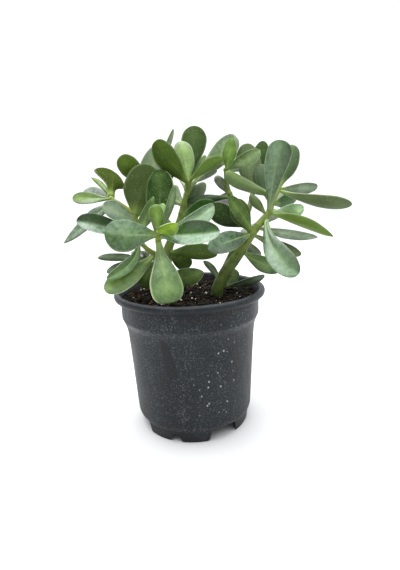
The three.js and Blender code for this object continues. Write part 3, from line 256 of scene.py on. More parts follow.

# piece, material slot, finish, [leaves]; a leaf is base, tip, face normal, width, bow, sway, widest, neck, flare,
# point, cup, fold, tone, shade, the rim on either side (above 0 pale, below 0 dark towards the tip), and how strongly
# one half is painted lighter and waxier as painted sheen and the other darker as painted shade
LEAVES = [
    ("leaf_pair_front_low", "leaf_bloom", "silvery", [
        ((-26.0, -48.2, 199.2), (-64.8, -72.0, 205.8), (0.501, -0.823, -0.267), 26.8, 5.0, (0.0, 0.0, 0.0), 0.74, 0.22, 1.6, 0.46, 0.30, 0.28, 9, 1.00, (0.10, 0.25), -0.40),
        ((-23.6, -48.0, 199.0), (26.8, -68.0, 201.2), (-0.379, -0.808, 0.452), 21.6, 5.0, (-0.1, -0.5, -6.0), 0.62, 0.22, 1.6, 0.46, 0.30, 0.34, 3, 1.35, (0.20, 0.20), -0.52),
    ]),
    ("leaf_pair_front_bud", "leaf_young", "fresh", [
        ((-24.4, -50.3, 202.8), (-25.1, -52.0, 224.6), (0.167, -0.985, -0.038), 13.1, 2.0, (0.0, 0.0, 0.0), 0.60, 0.22, 1.6, 0.46, 0.14, 0.08, 12, 1.05, (0.30, 0.30), 0.00),
        ((-23.3, -51.3, 201.6), (-7.9, -71.1, 209.3), (-0.309, -0.601, -0.737), 14.1, -0.0, (0.0, -0.0, -0.0), 0.50, 0.35, 1.6, 0.46, 0.45, 0.10, 17, 1.00, (0.60, 0.60), 0.15),
    ]),
    ("leaf_pair_front_inner", "leaf_young", "fresh", [
        ((-24.7, -46.0, 199.4), (-19.5, -37.0, 224.9), (0.329, -0.894, 0.305), 9.3, 1.0, (0.0, 0.0, 0.0), 0.60, 0.22, 1.6, 0.46, 0.14, 0.15, 15, 1.85, (0.14, 0.14), 0.00),
        ((-24.5, -45.0, 198.4), (-8.4, -49.0, 238.8), (0.751, -0.625, -0.213), 10.3, 1.7, (1.0, 0.0, -0.1), 0.62, 0.22, 1.6, 0.46, 0.14, 0.00, 15, 0.85, (0.14, 0.14), 0.00),
    ]),
    ("leaf_front_right_upper", "leaf_bloom", "silvery", [
        ((-24.2, -42.0, 195.0), (25.7, -25.7, 221.1), (0.396, -0.861, -0.319), 17.7, 2.5, (0.0, -0.0, -0.0), 0.70, 0.22, 1.6, 0.46, 0.22, 0.36, 18, 1.00, (0.30, 0.30), -0.50),
    ]),
    ("leaf_front_left_slim", "leaf_bloom", "deep", [
        ((-45.1, -20.8, 197.8), (-26.3, -50.0, 231.0), (0.205, -0.794, -0.573), 12.0, 1.0, (0.0, 0.0, -0.0), 0.50, 0.22, 1.6, 0.75, 0.14, 0.15, 16, 1.55, (0.14, 0.14), 0.00),
    ]),
    ("leaf_front_hanging", "leaf_green", "fresh", [
        ((-25.3, -43.0, 192.8), (-17.7, -64.0, 141.9), (0.041, -0.925, 0.379), 28.5, 4.0, (-0.0, -0.0, -0.0), 0.79, 0.20, 2.2, 0.37, 0.14, 0.06, 15, 1.05, (0.75, 0.30), 0.00),
    ]),
    ("leaf_front_upright", "leaf_deep", "shaded", [
        ((-25.4, -40.9, 195.0), (-20.1, -22.0, 254.4), (0.071, -0.957, 0.281), 25.7, 2.0, (0.0, 0.0, -0.0), 0.62, 0.22, 1.6, 0.46, 0.14, 0.00, 4, 1.10, (0.50, 0.10), 0.20),
    ]),
    ("leaf_pair_left_tip", "leaf_young", "silvery", [
        ((-67.7, -22.7, 230.7), (-95.5, -42.0, 231.4), (0.489, -0.767, 0.415), 11.6, 2.0, (0.0, -0.0, 0.0), 0.72, 0.22, 1.6, 0.46, 0.25, 0.12, 12, 1.00, (-0.75, -0.75), 0.00),
        ((-67.6, -21.1, 231.1), (-101.2, 15.8, 238.8), (-0.516, -0.569, 0.640), 15.6, 0.0, (0.0, 0.0, 0.0), 0.60, 0.22, 1.6, 0.46, 0.14, 0.00, 3, 0.55, (0.14, 0.14), 0.00),
    ]),
    ("leaf_pair_left_top", "leaf_bloom", "shaded", [
        ((-67.3, -21.1, 231.5), (-87.1, -3.0, 251.3), (0.212, -0.364, 0.907), 7.4, -0.5, (2.3, 0.3, 3.2), 0.62, 0.22, 1.6, 0.70, 0.14, 0.00, 16, 0.75, (0.14, 0.14), 0.00),
        ((-67.2, -21.1, 231.6), (-72.2, 24.0, 258.7), (-0.610, 0.377, -0.697), 33.4, 0.0, (0.0, 0.0, -0.0), 0.75, 0.22, 6.0, 0.46, 0.20, 0.00, 2, 1.00, (0.14, 0.14), 0.00),
    ]),
    ("leaf_pair_left_drooping", "leaf_bloom", "silvery", [
        ((-65.6, -21.5, 228.9), (-118.2, -10.0, 191.3), (-0.463, -0.724, 0.511), 17.5, -3.0, (-0.0, -0.0, 0.0), 0.42, 0.22, 1.6, 0.85, 0.14, 0.20, 11, 0.65, (-0.80, -0.80), 0.00),
        ((-67.6, -21.1, 231.1), (-75.6, 34.0, 220.6), (0.633, -0.100, -0.768), 14.7, 3.0, (-0.0, -0.0, -0.0), 0.64, 0.22, 1.6, 0.46, 0.14, 0.00, 10, 0.95, (0.14, 0.14), 0.00),
    ]),
    ("leaf_left_blue", "leaf_bloom", "silvery", [
        ((-46.4, -19.9, 208.9), (-70.4, -44.0, 225.8), (0.653, -0.758, 0.009), 16.4, 2.0, (0.0, 0.0, 0.0), 0.68, 0.22, 1.6, 0.46, 0.14, 0.16, 14, 1.50, (0.14, 0.14), 0.00),
    ]),
    ("leaf_left_broad", "leaf_bloom", "silvery", [
        ((-46.6, -20.6, 195.8), (-92.1, -50.0, 213.7), (0.665, -0.680, 0.309), 17.5, 3.0, (0.0, 0.0, 0.0), 0.74, 0.22, 1.6, 0.46, 0.28, 0.34, 3, 0.80, (0.14, 0.14), 0.50),
    ]),
    ("leaf_pair_left_dark", "leaf_deep", "shaded", [
        ((-46.5, -18.9, 214.6), (-25.7, -20.3, 255.6), (0.014, 1.000, 0.024), 36.6, 3.2, (-6.3, -0.7, 3.0), 0.56, 0.22, 1.6, 0.46, 0.14, 0.00, 8, 0.90, (0.12, 0.12), 0.30),
        ((-46.9, -17.7, 212.9), (-49.4, 50.0, 229.8), (0.380, -0.182, 0.907), 20.5, 3.0, (0.0, 0.0, -0.0), 0.64, 0.22, 1.6, 0.46, 0.14, 0.00, 10, 0.95, (0.14, 0.14), 0.00),
    ]),
    ("leaf_left_round", "leaf_young", "deep", [
        ((-33.6, 10.0, 242.5), (-58.1, -14.0, 266.8), (-0.436, 0.818, 0.376), 19.3, 1.0, (0.0, 0.0, 0.0), 0.66, 0.22, 1.6, 0.46, 0.14, 0.00, 12, 0.75, (0.14, 0.14), 0.00),
    ]),
    ("leaf_low_left_inner", "leaf_green", "deep", [
        ((-45.1, -20.9, 191.1), (-71.2, -52.0, 163.3), (0.083, -0.712, 0.697), 12.8, 5.0, (12.7, 0.5, -11.3), 0.62, 0.22, 1.6, 0.46, 0.14, 0.20, 7, 1.25, (0.55, 0.10), 0.40),
    ]),
    ("leaf_pair_low_left", "leaf_green", "fresh", [
        ((-32.5, -17.7, 177.2), (-74.3, -50.0, 152.2), (0.175, -0.790, 0.588), 20.3, 5.0, (3.2, -0.5, -5.1), 0.72, 0.22, 1.6, 0.46, 0.14, 0.00, 13, 1.00, (0.30, 0.50), 0.30),
        ((-35.0, -17.0, 180.3), (-65.4, 74.1, 163.0), (-0.731, -0.370, -0.573), 16.1, 2.2, (-0.0, 0.0, 0.0), 0.64, 0.22, 1.6, 0.46, 0.14, 0.00, 0, 0.80, (0.14, 0.14), 0.00),
    ]),
    ("leaf_pair_low_left_rear", "leaf_deep", "shaded", [
        ((-42.7, 11.4, 169.9), (-96.7, 30.3, 170.6), (-0.168, -0.504, 0.847), 12.7, 0.1, (0.0, 0.0, 0.0), 0.62, 0.22, 1.6, 0.46, 0.14, 0.00, 14, 0.50, (0.14, 0.14), 0.00),
        ((-43.4, 11.9, 168.6), (-89.4, 31.4, 154.5), (-0.445, -0.640, 0.626), 13.1, -0.0, (-0.0, 0.0, 0.0), 0.62, 0.22, 1.6, 0.46, 0.14, 0.00, 14, 0.75, (0.14, 0.14), 0.00),
    ]),
    ("leaf_low_centre_dark", "leaf_deep", "deep", [
        ((-17.6, -10.1, 178.1), (26.5, -40.0, 180.6), (0.474, 0.835, 0.279), 17.4, 1.0, (-0.0, -0.0, -0.0), 0.62, 0.22, 1.6, 0.46, 0.14, 0.00, 10, 0.90, (0.14, 0.14), 0.00),
    ]),
    ("leaf_low_rear_left", "leaf_green", "deep", [
        ((-28.8, -14.4, 172.4), (-48.7, 0.0, 143.6), (-0.392, -0.914, -0.106), 19.5, 1.0, (-0.0, 0.0, 0.0), 0.62, 0.22, 1.6, 0.46, 0.14, 0.00, 10, 0.80, (0.14, 0.14), 0.00),
    ]),
    ("leaf_low_centre_front", "leaf_green", "fresh", [
        ((-20.0, -15.6, 151.7), (13.8, -38.0, 162.6), (-0.464, -0.854, -0.235), 19.1, 3.0, (0.0, -0.0, -0.0), 0.52, 0.22, 1.6, 0.68, 0.14, 0.12, 13, 0.90, (0.70, 0.10), 0.20),
    ]),
    ("leaf_low_rear_centre", "leaf_green", "deep", [
        ((-18.2, -6.6, 177.3), (1.5, 18.0, 157.6), (0.400, -0.770, -0.497), 16.9, 0.0, (-0.0, -0.0, -0.0), 0.64, 0.22, 1.6, 0.46, 0.14, 0.00, 13, 1.05, (0.14, 0.14), 0.00),
    ]),
    ("leaf_mid_rear", "leaf_green", "fresh", [
        ((-10.8, -1.1, 196.9), (1.4, 66.0, 192.5), (0.876, -0.139, 0.463), 25.2, 5.0, (0.0, -0.0, -0.0), 0.64, 0.22, 1.6, 0.46, 0.14, 0.00, 10, 0.95, (0.14, 0.14), 0.00),
    ]),
    ("leaf_pair_crown_front", "leaf_green", "deep", [
        ((3.0, -0.9, 242.9), (-23.9, -30.0, 276.9), (-0.468, 0.829, 0.308), 21.3, 1.0, (-0.8, 0.0, -0.6), 0.66, 0.22, 1.6, 0.46, 0.14, 0.00, 5, 1.00, (0.30, 0.10), 0.20),
        ((5.3, -1.0, 245.3), (34.0, -32.0, 261.9), (0.166, 0.595, 0.786), 13.3, 2.0, (0.0, 0.0, -0.0), 0.66, 0.22, 1.6, 0.46, 0.30, -0.15, 10, 1.55, (0.14, 0.14), -0.30),
    ]),
    ("leaf_crown_cross", "leaf_bloom", "fresh", [
        ((3.0, 1.1, 241.7), (-2.9, 19.3, 283.3), (0.084, -0.890, 0.447), 19.2, 2.5, (3.0, -0.0, 0.5), 0.60, 0.22, 1.6, 0.46, 0.20, 0.08, 12, 0.95, (0.15, 0.15), -0.25),
    ]),
    ("leaf_crown_behind", "leaf_bloom", "deep", [
        ((4.6, 1.0, 241.4), (34.3, 31.5, 254.2), (-0.680, 0.404, 0.612), 10.4, 1.5, (0.0, 0.0, -0.0), 0.62, 0.22, 1.6, 0.46, 0.14, 0.00, 10, 0.95, (0.14, 0.14), 0.00),
    ]),
    ("leaf_pair_crown_rear", "leaf_deep", "shaded", [
        ((1.4, 1.4, 233.6), (14.4, 30.0, 298.7), (-0.069, 0.921, -0.382), 26.2, 0.0, (0.0, -0.0, -0.0), 0.78, 0.22, 4.0, 0.46, 0.14, 0.00, 6, 1.00, (0.22, 0.22), 0.00),
        ((1.1, 1.5, 230.5), (23.9, 40.0, 270.8), (-0.830, 0.556, -0.044), 12.9, 0.0, (0.0, -0.0, -0.0), 0.62, 0.22, 1.6, 0.46, 0.14, 0.00, 16, 1.10, (0.14, 0.14), 0.00),
    ]),
    ("leaf_crown_wide", "leaf_bloom", "silvery", [
        ((4.4, 0.7, 238.7), (54.3, 24.7, 286.1), (0.324, -0.935, 0.145), 21.7, 2.4, (0.0, 0.0, -0.0), 0.74, 0.16, 2.0, 0.46, 0.14, 0.12, 16, 0.95, (0.20, 0.20), 0.25),
    ]),
    ("leaf_crown_rear_single", "leaf_green", "fresh", [
        ((2.1, 1.4, 234.9), (3.0, 78.4, 267.9), (0.021, -0.395, 0.918), 23.3, 1.6, (0.0, -0.0, -0.0), 0.64, 0.22, 1.6, 0.46, 0.14, 0.00, 10, 0.95, (0.14, 0.14), 0.00),
    ]),
    ("leaf_pair_rear_slim", "leaf_bloom", "deep", [
        ((-27.6, 14.1, 253.7), (-8.4, 44.0, 298.5), (0.939, -0.308, -0.151), 10.9, 0.0, (0.0, 0.0, -0.0), 0.62, 0.22, 1.6, 0.46, 0.14, 0.00, 8, 1.40, (0.14, 0.14), 0.00),
        ((-27.8, 12.3, 250.5), (-9.8, 12.3, 253.2), (-0.122, 0.930, 0.348), 13.4, -0.1, (0.0, 0.0, -0.0), 0.62, 0.22, 1.6, 0.46, 0.14, 0.00, 7, 0.55, (0.14, 0.14), 0.00),
    ]),
    ("leaf_rear_light", "leaf_bloom", "silvery", [
        ((-47.3, -18.2, 215.7), (-23.4, 12.0, 277.8), (0.475, -0.850, 0.227), 23.5, 1.0, (0.0, 0.0, -0.0), 0.60, 0.22, 1.6, 0.46, 0.14, 0.00, 15, 0.70, (0.14, 0.14), 0.00),
    ]),
    ("leaf_centre_rear", "leaf_green", "deep", [
        ((-2.6, 1.4, 222.4), (-23.1, 58.0, 238.5), (-0.573, -0.438, 0.693), 23.4, 3.0, (0.0, 0.0, 0.0), 0.64, 0.22, 1.6, 0.46, 0.14, 0.00, 10, 0.95, (0.14, 0.14), 0.00),
    ]),
    ("leaf_pair_centre_low", "leaf_deep", "deep", [
        ((-2.8, 1.2, 215.9), (22.7, 36.2, 242.3), (-0.799, 0.600, -0.048), 17.5, -0.7, (0.0, -0.0, -0.0), 0.62, 0.22, 1.6, 0.60, 0.14, 0.00, 16, 0.70, (0.14, 0.14), 0.00),
        ((-3.3, -1.5, 211.7), (28.4, -16.5, 222.2), (0.218, 0.879, 0.423), 18.5, -0.8, (0.0, -0.0, -0.0), 0.62, 0.22, 1.6, 0.46, 0.14, 0.00, 1, 1.35, (0.14, 0.14), 0.00),
    ]),
    ("leaf_pair_upper_bud", "leaf_young", "fresh", [
        ((41.4, 7.0, 254.2), (45.9, -4.0, 280.7), (-0.084, -0.908, -0.411), 13.6, 0.0, (0.0, -0.0, -0.0), 0.55, 0.22, 1.6, 0.46, 0.14, 0.10, 12, 1.65, (0.35, 0.35), 0.00),
        ((41.7, 7.1, 254.2), (68.2, -24.0, 267.4), (-0.414, -0.592, -0.691), 14.4, 2.0, (0.0, 0.0, -0.0), 0.66, 0.22, 1.6, 0.46, 0.14, 0.22, 16, 1.50, (0.30, 0.30), -0.30),
    ]),
    ("leaf_upper_rear", "leaf_green", "fresh", [
        ((41.4, 9.1, 252.3), (65.7, 66.0, 269.8), (0.739, -0.455, 0.497), 21.4, 2.0, (0.0, -0.0, -0.0), 0.64, 0.22, 1.6, 0.46, 0.14, 0.00, 10, 0.95, (0.14, 0.14), 0.00),
    ]),
    ("leaf_pair_upper_mid", "leaf_deep", "fresh", [
        ((43.5, 6.8, 230.7), (32.5, 18.0, 249.5), (-0.308, 0.793, -0.525), 12.4, 0.0, (0.0, -0.0, 0.0), 0.62, 0.22, 1.6, 0.46, 0.14, 0.00, 2, 0.95, (0.14, 0.14), 0.00),
        ((43.1, 7.3, 232.4), (35.4, 58.0, 219.7), (-0.503, -0.320, -0.803), 18.0, 4.0, (-0.0, 0.0, 0.0), 0.64, 0.22, 1.6, 0.46, 0.14, 0.00, 0, 1.25, (0.14, 0.14), 0.00),
    ]),
    ("leaf_pair_rear_right", "leaf_green", "shaded", [
        ((68.2, 16.3, 232.7), (64.1, 26.8, 279.9), (0.084, 0.976, -0.199), 24.5, -0.2, (0.0, -0.0, 0.0), 0.62, 0.22, 1.6, 0.46, 0.14, 0.00, 16, 0.65, (0.14, 0.14), 0.00),
        ((69.4, 17.7, 233.0), (86.7, 50.0, 284.8), (0.036, 0.841, -0.540), 18.8, 0.0, (0.0, -0.0, -0.0), 0.60, 0.34, 1.1, 0.46, 0.14, 0.00, 4, 0.85, (0.14, 0.14), 0.00),
    ]),
    ("leaf_right_tall", "leaf_bloom", "fresh", [
        ((79.7, -10.2, 213.2), (86.6, -30.0, 274.2), (-0.134, -0.937, -0.322), 22.7, 2.0, (-3.8, 0.9, 0.8), 0.84, 0.20, 2.0, 0.46, 0.14, 0.12, 11, 1.05, (0.22, 0.22), 0.30),
    ]),
    ("leaf_right_hanging", "leaf_bloom", "silvery", [
        ((76.7, -11.4, 206.4), (94.6, -58.0, 160.4), (-0.484, -0.748, 0.453), 22.2, 5.0, (-13.0, 2.4, -7.0), 0.75, 0.22, 1.9, 0.46, 0.14, 0.10, 11, 1.05, (0.10, -0.60), -0.30),
    ]),
    ("leaf_pair_right_outer", "leaf_young", "fresh", [
        ((81.8, -9.8, 211.4), (111.2, -16.6, 215.0), (-0.123, -0.884, -0.452), 15.2, 1.0, (0.0, -0.0, -0.0), 0.68, 0.22, 1.6, 0.46, 0.14, 0.15, 19, 1.00, (0.14, 0.14), -0.20),
        ((81.3, -9.9, 211.2), (129.1, -45.0, 190.3), (0.612, 0.538, 0.579), 15.1, 3.0, (0.7, -0.1, 1.9), 0.50, 0.22, 1.6, 0.75, 0.14, 0.00, 12, 1.05, (0.14, 0.14), 0.00),
    ]),
    ("leaf_pair_right_shaded", "leaf_bloom", "deep", [
        ((81.7, -4.6, 220.5), (77.7, 19.1, 258.9), (0.012, 0.892, -0.451), 17.4, 0.6, (0.0, -0.0, 0.0), 0.62, 0.22, 1.6, 0.46, 0.14, 0.00, 7, 0.70, (0.14, 0.14), 0.00),
        ((84.2, -4.3, 219.4), (118.1, 30.0, 224.0), (-0.654, 0.726, 0.211), 15.4, 0.0, (0.0, -0.0, -0.0), 0.62, 0.22, 1.6, 0.46, 0.14, 0.00, 1, 1.35, (0.14, 0.14), 0.00),
    ]),
    ("leaf_pair_right_tip", "leaf_green", "deep", [
        ((91.0, 1.3, 234.3), (115.1, 30.0, 276.6), (-0.151, 0.849, -0.507), 23.2, 0.0, (-1.8, 0.4, 0.7), 0.62, 0.22, 1.6, 0.46, 0.14, 0.00, 7, 1.00, (0.14, 0.14), -0.30),
        ((92.4, 0.4, 233.7), (136.2, 20.0, 234.2), (0.389, -0.846, -0.364), 12.2, 1.0, (-0.0, 0.0, -0.0), 0.60, 0.22, 1.6, 0.46, 0.14, 0.15, 14, 1.30, (0.30, 0.30), 0.00),
    ]),
    ("leaf_right_long", "leaf_green", "fresh", [
        ((91.3, -1.4, 232.0), (150.9, -30.0, 217.3), (0.485, 0.698, 0.527), 15.0, 3.0, (-1.7, 0.5, -7.8), 0.68, 0.22, 1.6, 0.46, 0.14, 0.00, 8, 1.10, (0.25, 0.25), 0.00),
    ]),
    ("leaf_right_underside", "leaf_bloom", "fresh", [
        ((85.3, -3.4, 227.4), (35.6, -30.0, 247.9), (-0.599, 0.794, -0.105), 13.2, 1.0, (-0.8, 0.2, -1.8), 0.78, 0.22, 1.2, 0.46, 0.14, 0.00, 10, 1.00, (0.14, 0.14), 0.30),
    ]),
    ("leaf_right_rear", "leaf_green", "fresh", [
        ((82.5, -4.5, 217.8), (103.8, 64.0, 240.1), (0.381, -0.444, 0.811), 21.6, 2.0, (0.0, -0.0, -0.0), 0.64, 0.22, 1.6, 0.46, 0.14, 0.00, 10, 0.95, (0.14, 0.14), 0.00),
    ]),
    ("leaf_pair_right_low", "leaf_bloom", "deep", [
        ((68.8, -10.7, 197.4), (139.8, 24.0, 181.9), (0.218, -0.725, -0.653), 13.3, 1.0, (-0.0, -0.0, -0.0), 0.50, 0.22, 1.6, 0.70, 0.14, 0.15, 14, 1.35, (0.14, 0.14), 0.00),
        ((68.8, -9.4, 199.3), (105.0, 54.0, 210.3), (0.413, -0.383, 0.826), 14.5, 4.0, (0.0, -0.0, -0.0), 0.64, 0.22, 1.6, 0.46, 0.14, 0.00, 10, 0.95, (0.14, 0.14), 0.00),
    ]),
    ("leaf_right_olive", "leaf_green", "deep", [
        ((63.8, -10.6, 191.4), (124.4, 34.0, 161.7), (0.267, -0.751, -0.604), 14.5, 0.0, (-0.0, -0.0, -0.0), 0.62, 0.22, 1.6, 0.46, 0.14, 0.00, 5, 0.80, (0.14, 0.14), 0.00),
    ]),
    ("leaf_right_lower", "leaf_green", "deep", [
        ((53.9, -12.7, 175.6), (87.9, -26.0, 159.0), (-0.655, -0.755, 0.016), 16.1, 3.0, (-1.4, -0.2, -2.6), 0.62, 0.22, 1.6, 0.46, 0.14, 0.15, 15, 0.90, (0.14, 0.14), 0.00),
    ]),
    ("leaf_right_small", "leaf_deep", "deep", [
        ((58.7, -11.0, 184.9), (73.8, 20.0, 165.1), (-0.165, -0.496, -0.852), 14.2, 0.0, (-0.0, 0.0, -0.0), 0.62, 0.22, 1.6, 0.46, 0.14, 0.00, 5, 1.10, (0.14, 0.14), 0.00),
    ]),
    ("leaf_right_rear_low", "leaf_green", "fresh", [
        ((58.8, -8.7, 189.0), (72.3, 56.0, 194.8), (-0.415, -0.071, 0.907), 18.1, 4.0, (0.0, -0.0, 0.0), 0.64, 0.22, 1.6, 0.46, 0.14, 0.00, 10, 0.95, (0.14, 0.14), 0.00),
    ]),
    ("leaf_inner_broad", "leaf_bloom", "fresh", [
        ((60.1, -14.5, 192.3), (17.5, -50.0, 184.2), (0.442, -0.735, 0.515), 19.7, 3.0, (-0.0, 0.0, 0.0), 0.66, 0.22, 1.6, 0.46, 0.14, 0.26, 1, 0.90, (0.14, 0.14), -0.30),
    ]),
    ("leaf_pair_inner_upright", "leaf_deep", "deep", [
        ((61.0, -12.6, 194.5), (44.8, -19.9, 225.1), (-0.310, 0.947, 0.085), 20.1, -0.4, (0.0, -0.0, 0.0), 0.62, 0.22, 1.6, 0.46, 0.14, 0.00, 12, 0.50, (0.14, 0.14), 0.00),
        ((62.3, -13.5, 195.8), (38.4, -36.0, 228.0), (0.516, -0.841, -0.165), 14.1, 1.0, (0.0, -0.0, 0.0), 0.62, 0.22, 1.6, 0.46, 0.14, 0.00, 10, 0.95, (0.14, 0.14), 0.00),
    ]),
    ("leaf_inner_long", "leaf_deep", "deep", [
        ((44.2, 4.6, 227.3), (0.6, 1.5, 225.9), (0.013, 0.734, -0.679), 11.9, -2.9, (-0.0, 0.0, 0.0), 0.62, 0.22, 1.6, 0.46, 0.14, 0.00, 3, 0.50, (0.14, 0.14), 0.00),
    ]),
    ("leaf_inner_dark", "leaf_deep", "shaded", [
        ((58.0, -9.7, 199.7), (21.4, -22.0, 219.8), (-0.389, 0.919, -0.054), 20.5, 0.0, (0.0, -0.0, 0.0), 0.62, 0.22, 1.6, 0.46, 0.14, 0.00, 4, 0.85, (0.14, 0.14), 0.00),
    ]),
    ("leaf_right_edge_on", "leaf_deep", "deep", [
        ((76.3, -9.2, 210.5), (63.0, -2.0, 229.0), (-0.256, 0.923, -0.286), 10.6, 0.0, (0.0, -0.0, 0.0), 0.62, 0.22, 1.6, 0.46, 0.14, 0.00, 8, 1.05, (0.14, 0.14), 0.00),
    ]),
    ("leaf_pair_base", "leaf_deep", "shaded", [
        ((34.3, -12.4, 141.3), (71.3, -28.0, 154.9), (-0.087, -0.695, -0.714), 12.7, 2.0, (0.0, -0.0, -0.0), 0.62, 0.22, 1.6, 0.46, 0.14, 0.15, 14, 0.70, (0.14, 0.14), 0.00),
        ((34.3, -12.4, 141.3), (50.7, 8.7, 153.2), (0.468, -0.683, 0.560), 12.9, -0.6, (0.0, -0.0, -0.0), 0.62, 0.22, 1.6, 0.46, 0.14, 0.00, 16, 0.75, (0.14, 0.14), 0.00),
    ]),
    ("leaf_base_rear", "leaf_bloom", "shaded", [
        ((30.3, -9.1, 148.8), (18.0, 26.0, 162.4), (0.325, -0.405, 0.854), 11.5, 0.0, (0.0, 0.0, 0.0), 0.62, 0.22, 1.6, 0.46, 0.14, 0.00, 14, 0.35, (0.14, 0.14), 0.00),
    ]),
]

NODES = [
    ("stem_left", (-24.8, -47.9, 199.3), (0.124, -0.747, 0.653), 3.38),
    ("stem_left", (-24.3, -51.0, 202.0), (0.123, -0.747, 0.654), 3.05),
    ("stem_left", (-24.9, -46.9, 198.4), (0.117, -0.745, 0.656), 3.46),
    ("stem_left", (-67.4, -22.0, 231.3), (-0.829, -0.097, 0.551), 2.86),
    ("stem_left", (-67.4, -22.0, 231.3), (-0.829, -0.097, 0.551), 2.86),
    ("stem_left", (-66.0, -21.8, 230.3), (-0.835, -0.091, 0.543), 2.89),
    ("stem_left", (-47.5, -18.8, 214.1), (-0.474, 0.012, 0.880), 3.20),
    ("stem_left", (-33.1, -17.7, 179.3), (-0.722, -0.334, 0.607), 3.64),
    ("stem_left", (-42.5, 13.0, 169.0), (-0.744, 0.644, -0.178), 3.69),
    ("stem_left", (4.2, 0.0, 243.8), (0.173, 0.000, 0.985), 3.45),
    ("stem_left", (1.3, 0.0, 232.0), (0.323, -0.013, 0.946), 3.74),
    ("stem_left", (-28.0, 12.8, 252.6), (0.414, 0.171, 0.894), 3.12),
    ("stem_left", (-4.2, -0.4, 214.1), (0.274, 0.063, 0.960), 4.31),
    ("stem_right", (40.9, 8.0, 254.2), (-0.026, -0.016, 1.000), 3.20),
    ("stem_right", (43.9, 5.6, 231.2), (-0.372, 0.215, 0.903), 3.59),
    ("stem_right", (69.0, 17.0, 231.9), (0.285, 0.541, 0.791), 3.54),
    ("stem_right", (80.6, -9.0, 212.4), (0.696, 0.149, 0.703), 4.12),
    ("stem_right", (83.2, -5.3, 220.2), (0.371, 0.355, 0.858), 4.12),
    ("stem_right", (91.4, 0.0, 234.5), (0.509, 0.288, 0.811), 3.53),
    ("stem_right", (68.5, -11.5, 199.9), (0.679, 0.125, 0.723), 5.00),
    ("stem_right", (62.9, -12.5, 193.4), (0.601, 0.119, 0.790), 5.28),
    ("stem_right", (29.2, -12.6, 143.6), (0.410, 0.087, 0.908), 6.88),
]

LONG = 44
ROUND = 36


def leaf_section(t, width, widest, neck, flare, point):
    if t <= widest:
        s = neck + (1 - neck) * math.sin(math.pi / 2 * t / widest) ** flare
    else:
        u = (t - widest) / (1 - widest)
        s = max(0.0, 1 - u * u) ** point
    cap = math.sqrt(max(0.0, 1 - (1 - min(t / 0.05, 1)) ** 2))
    w = width / 2 * s * cap
    h0 = min(2.3, 0.085 * width + 0.6)
    end = math.sqrt(max(0.0, 1 - max(0.0, (t - 0.55) / 0.45) ** 2))
    h = h0 * (0.95 + 0.25 * max(0.0, 1 - t / 0.3)) * end * cap
    if t < 0.5:
        h = min(h, w * 0.95)
    return w, h


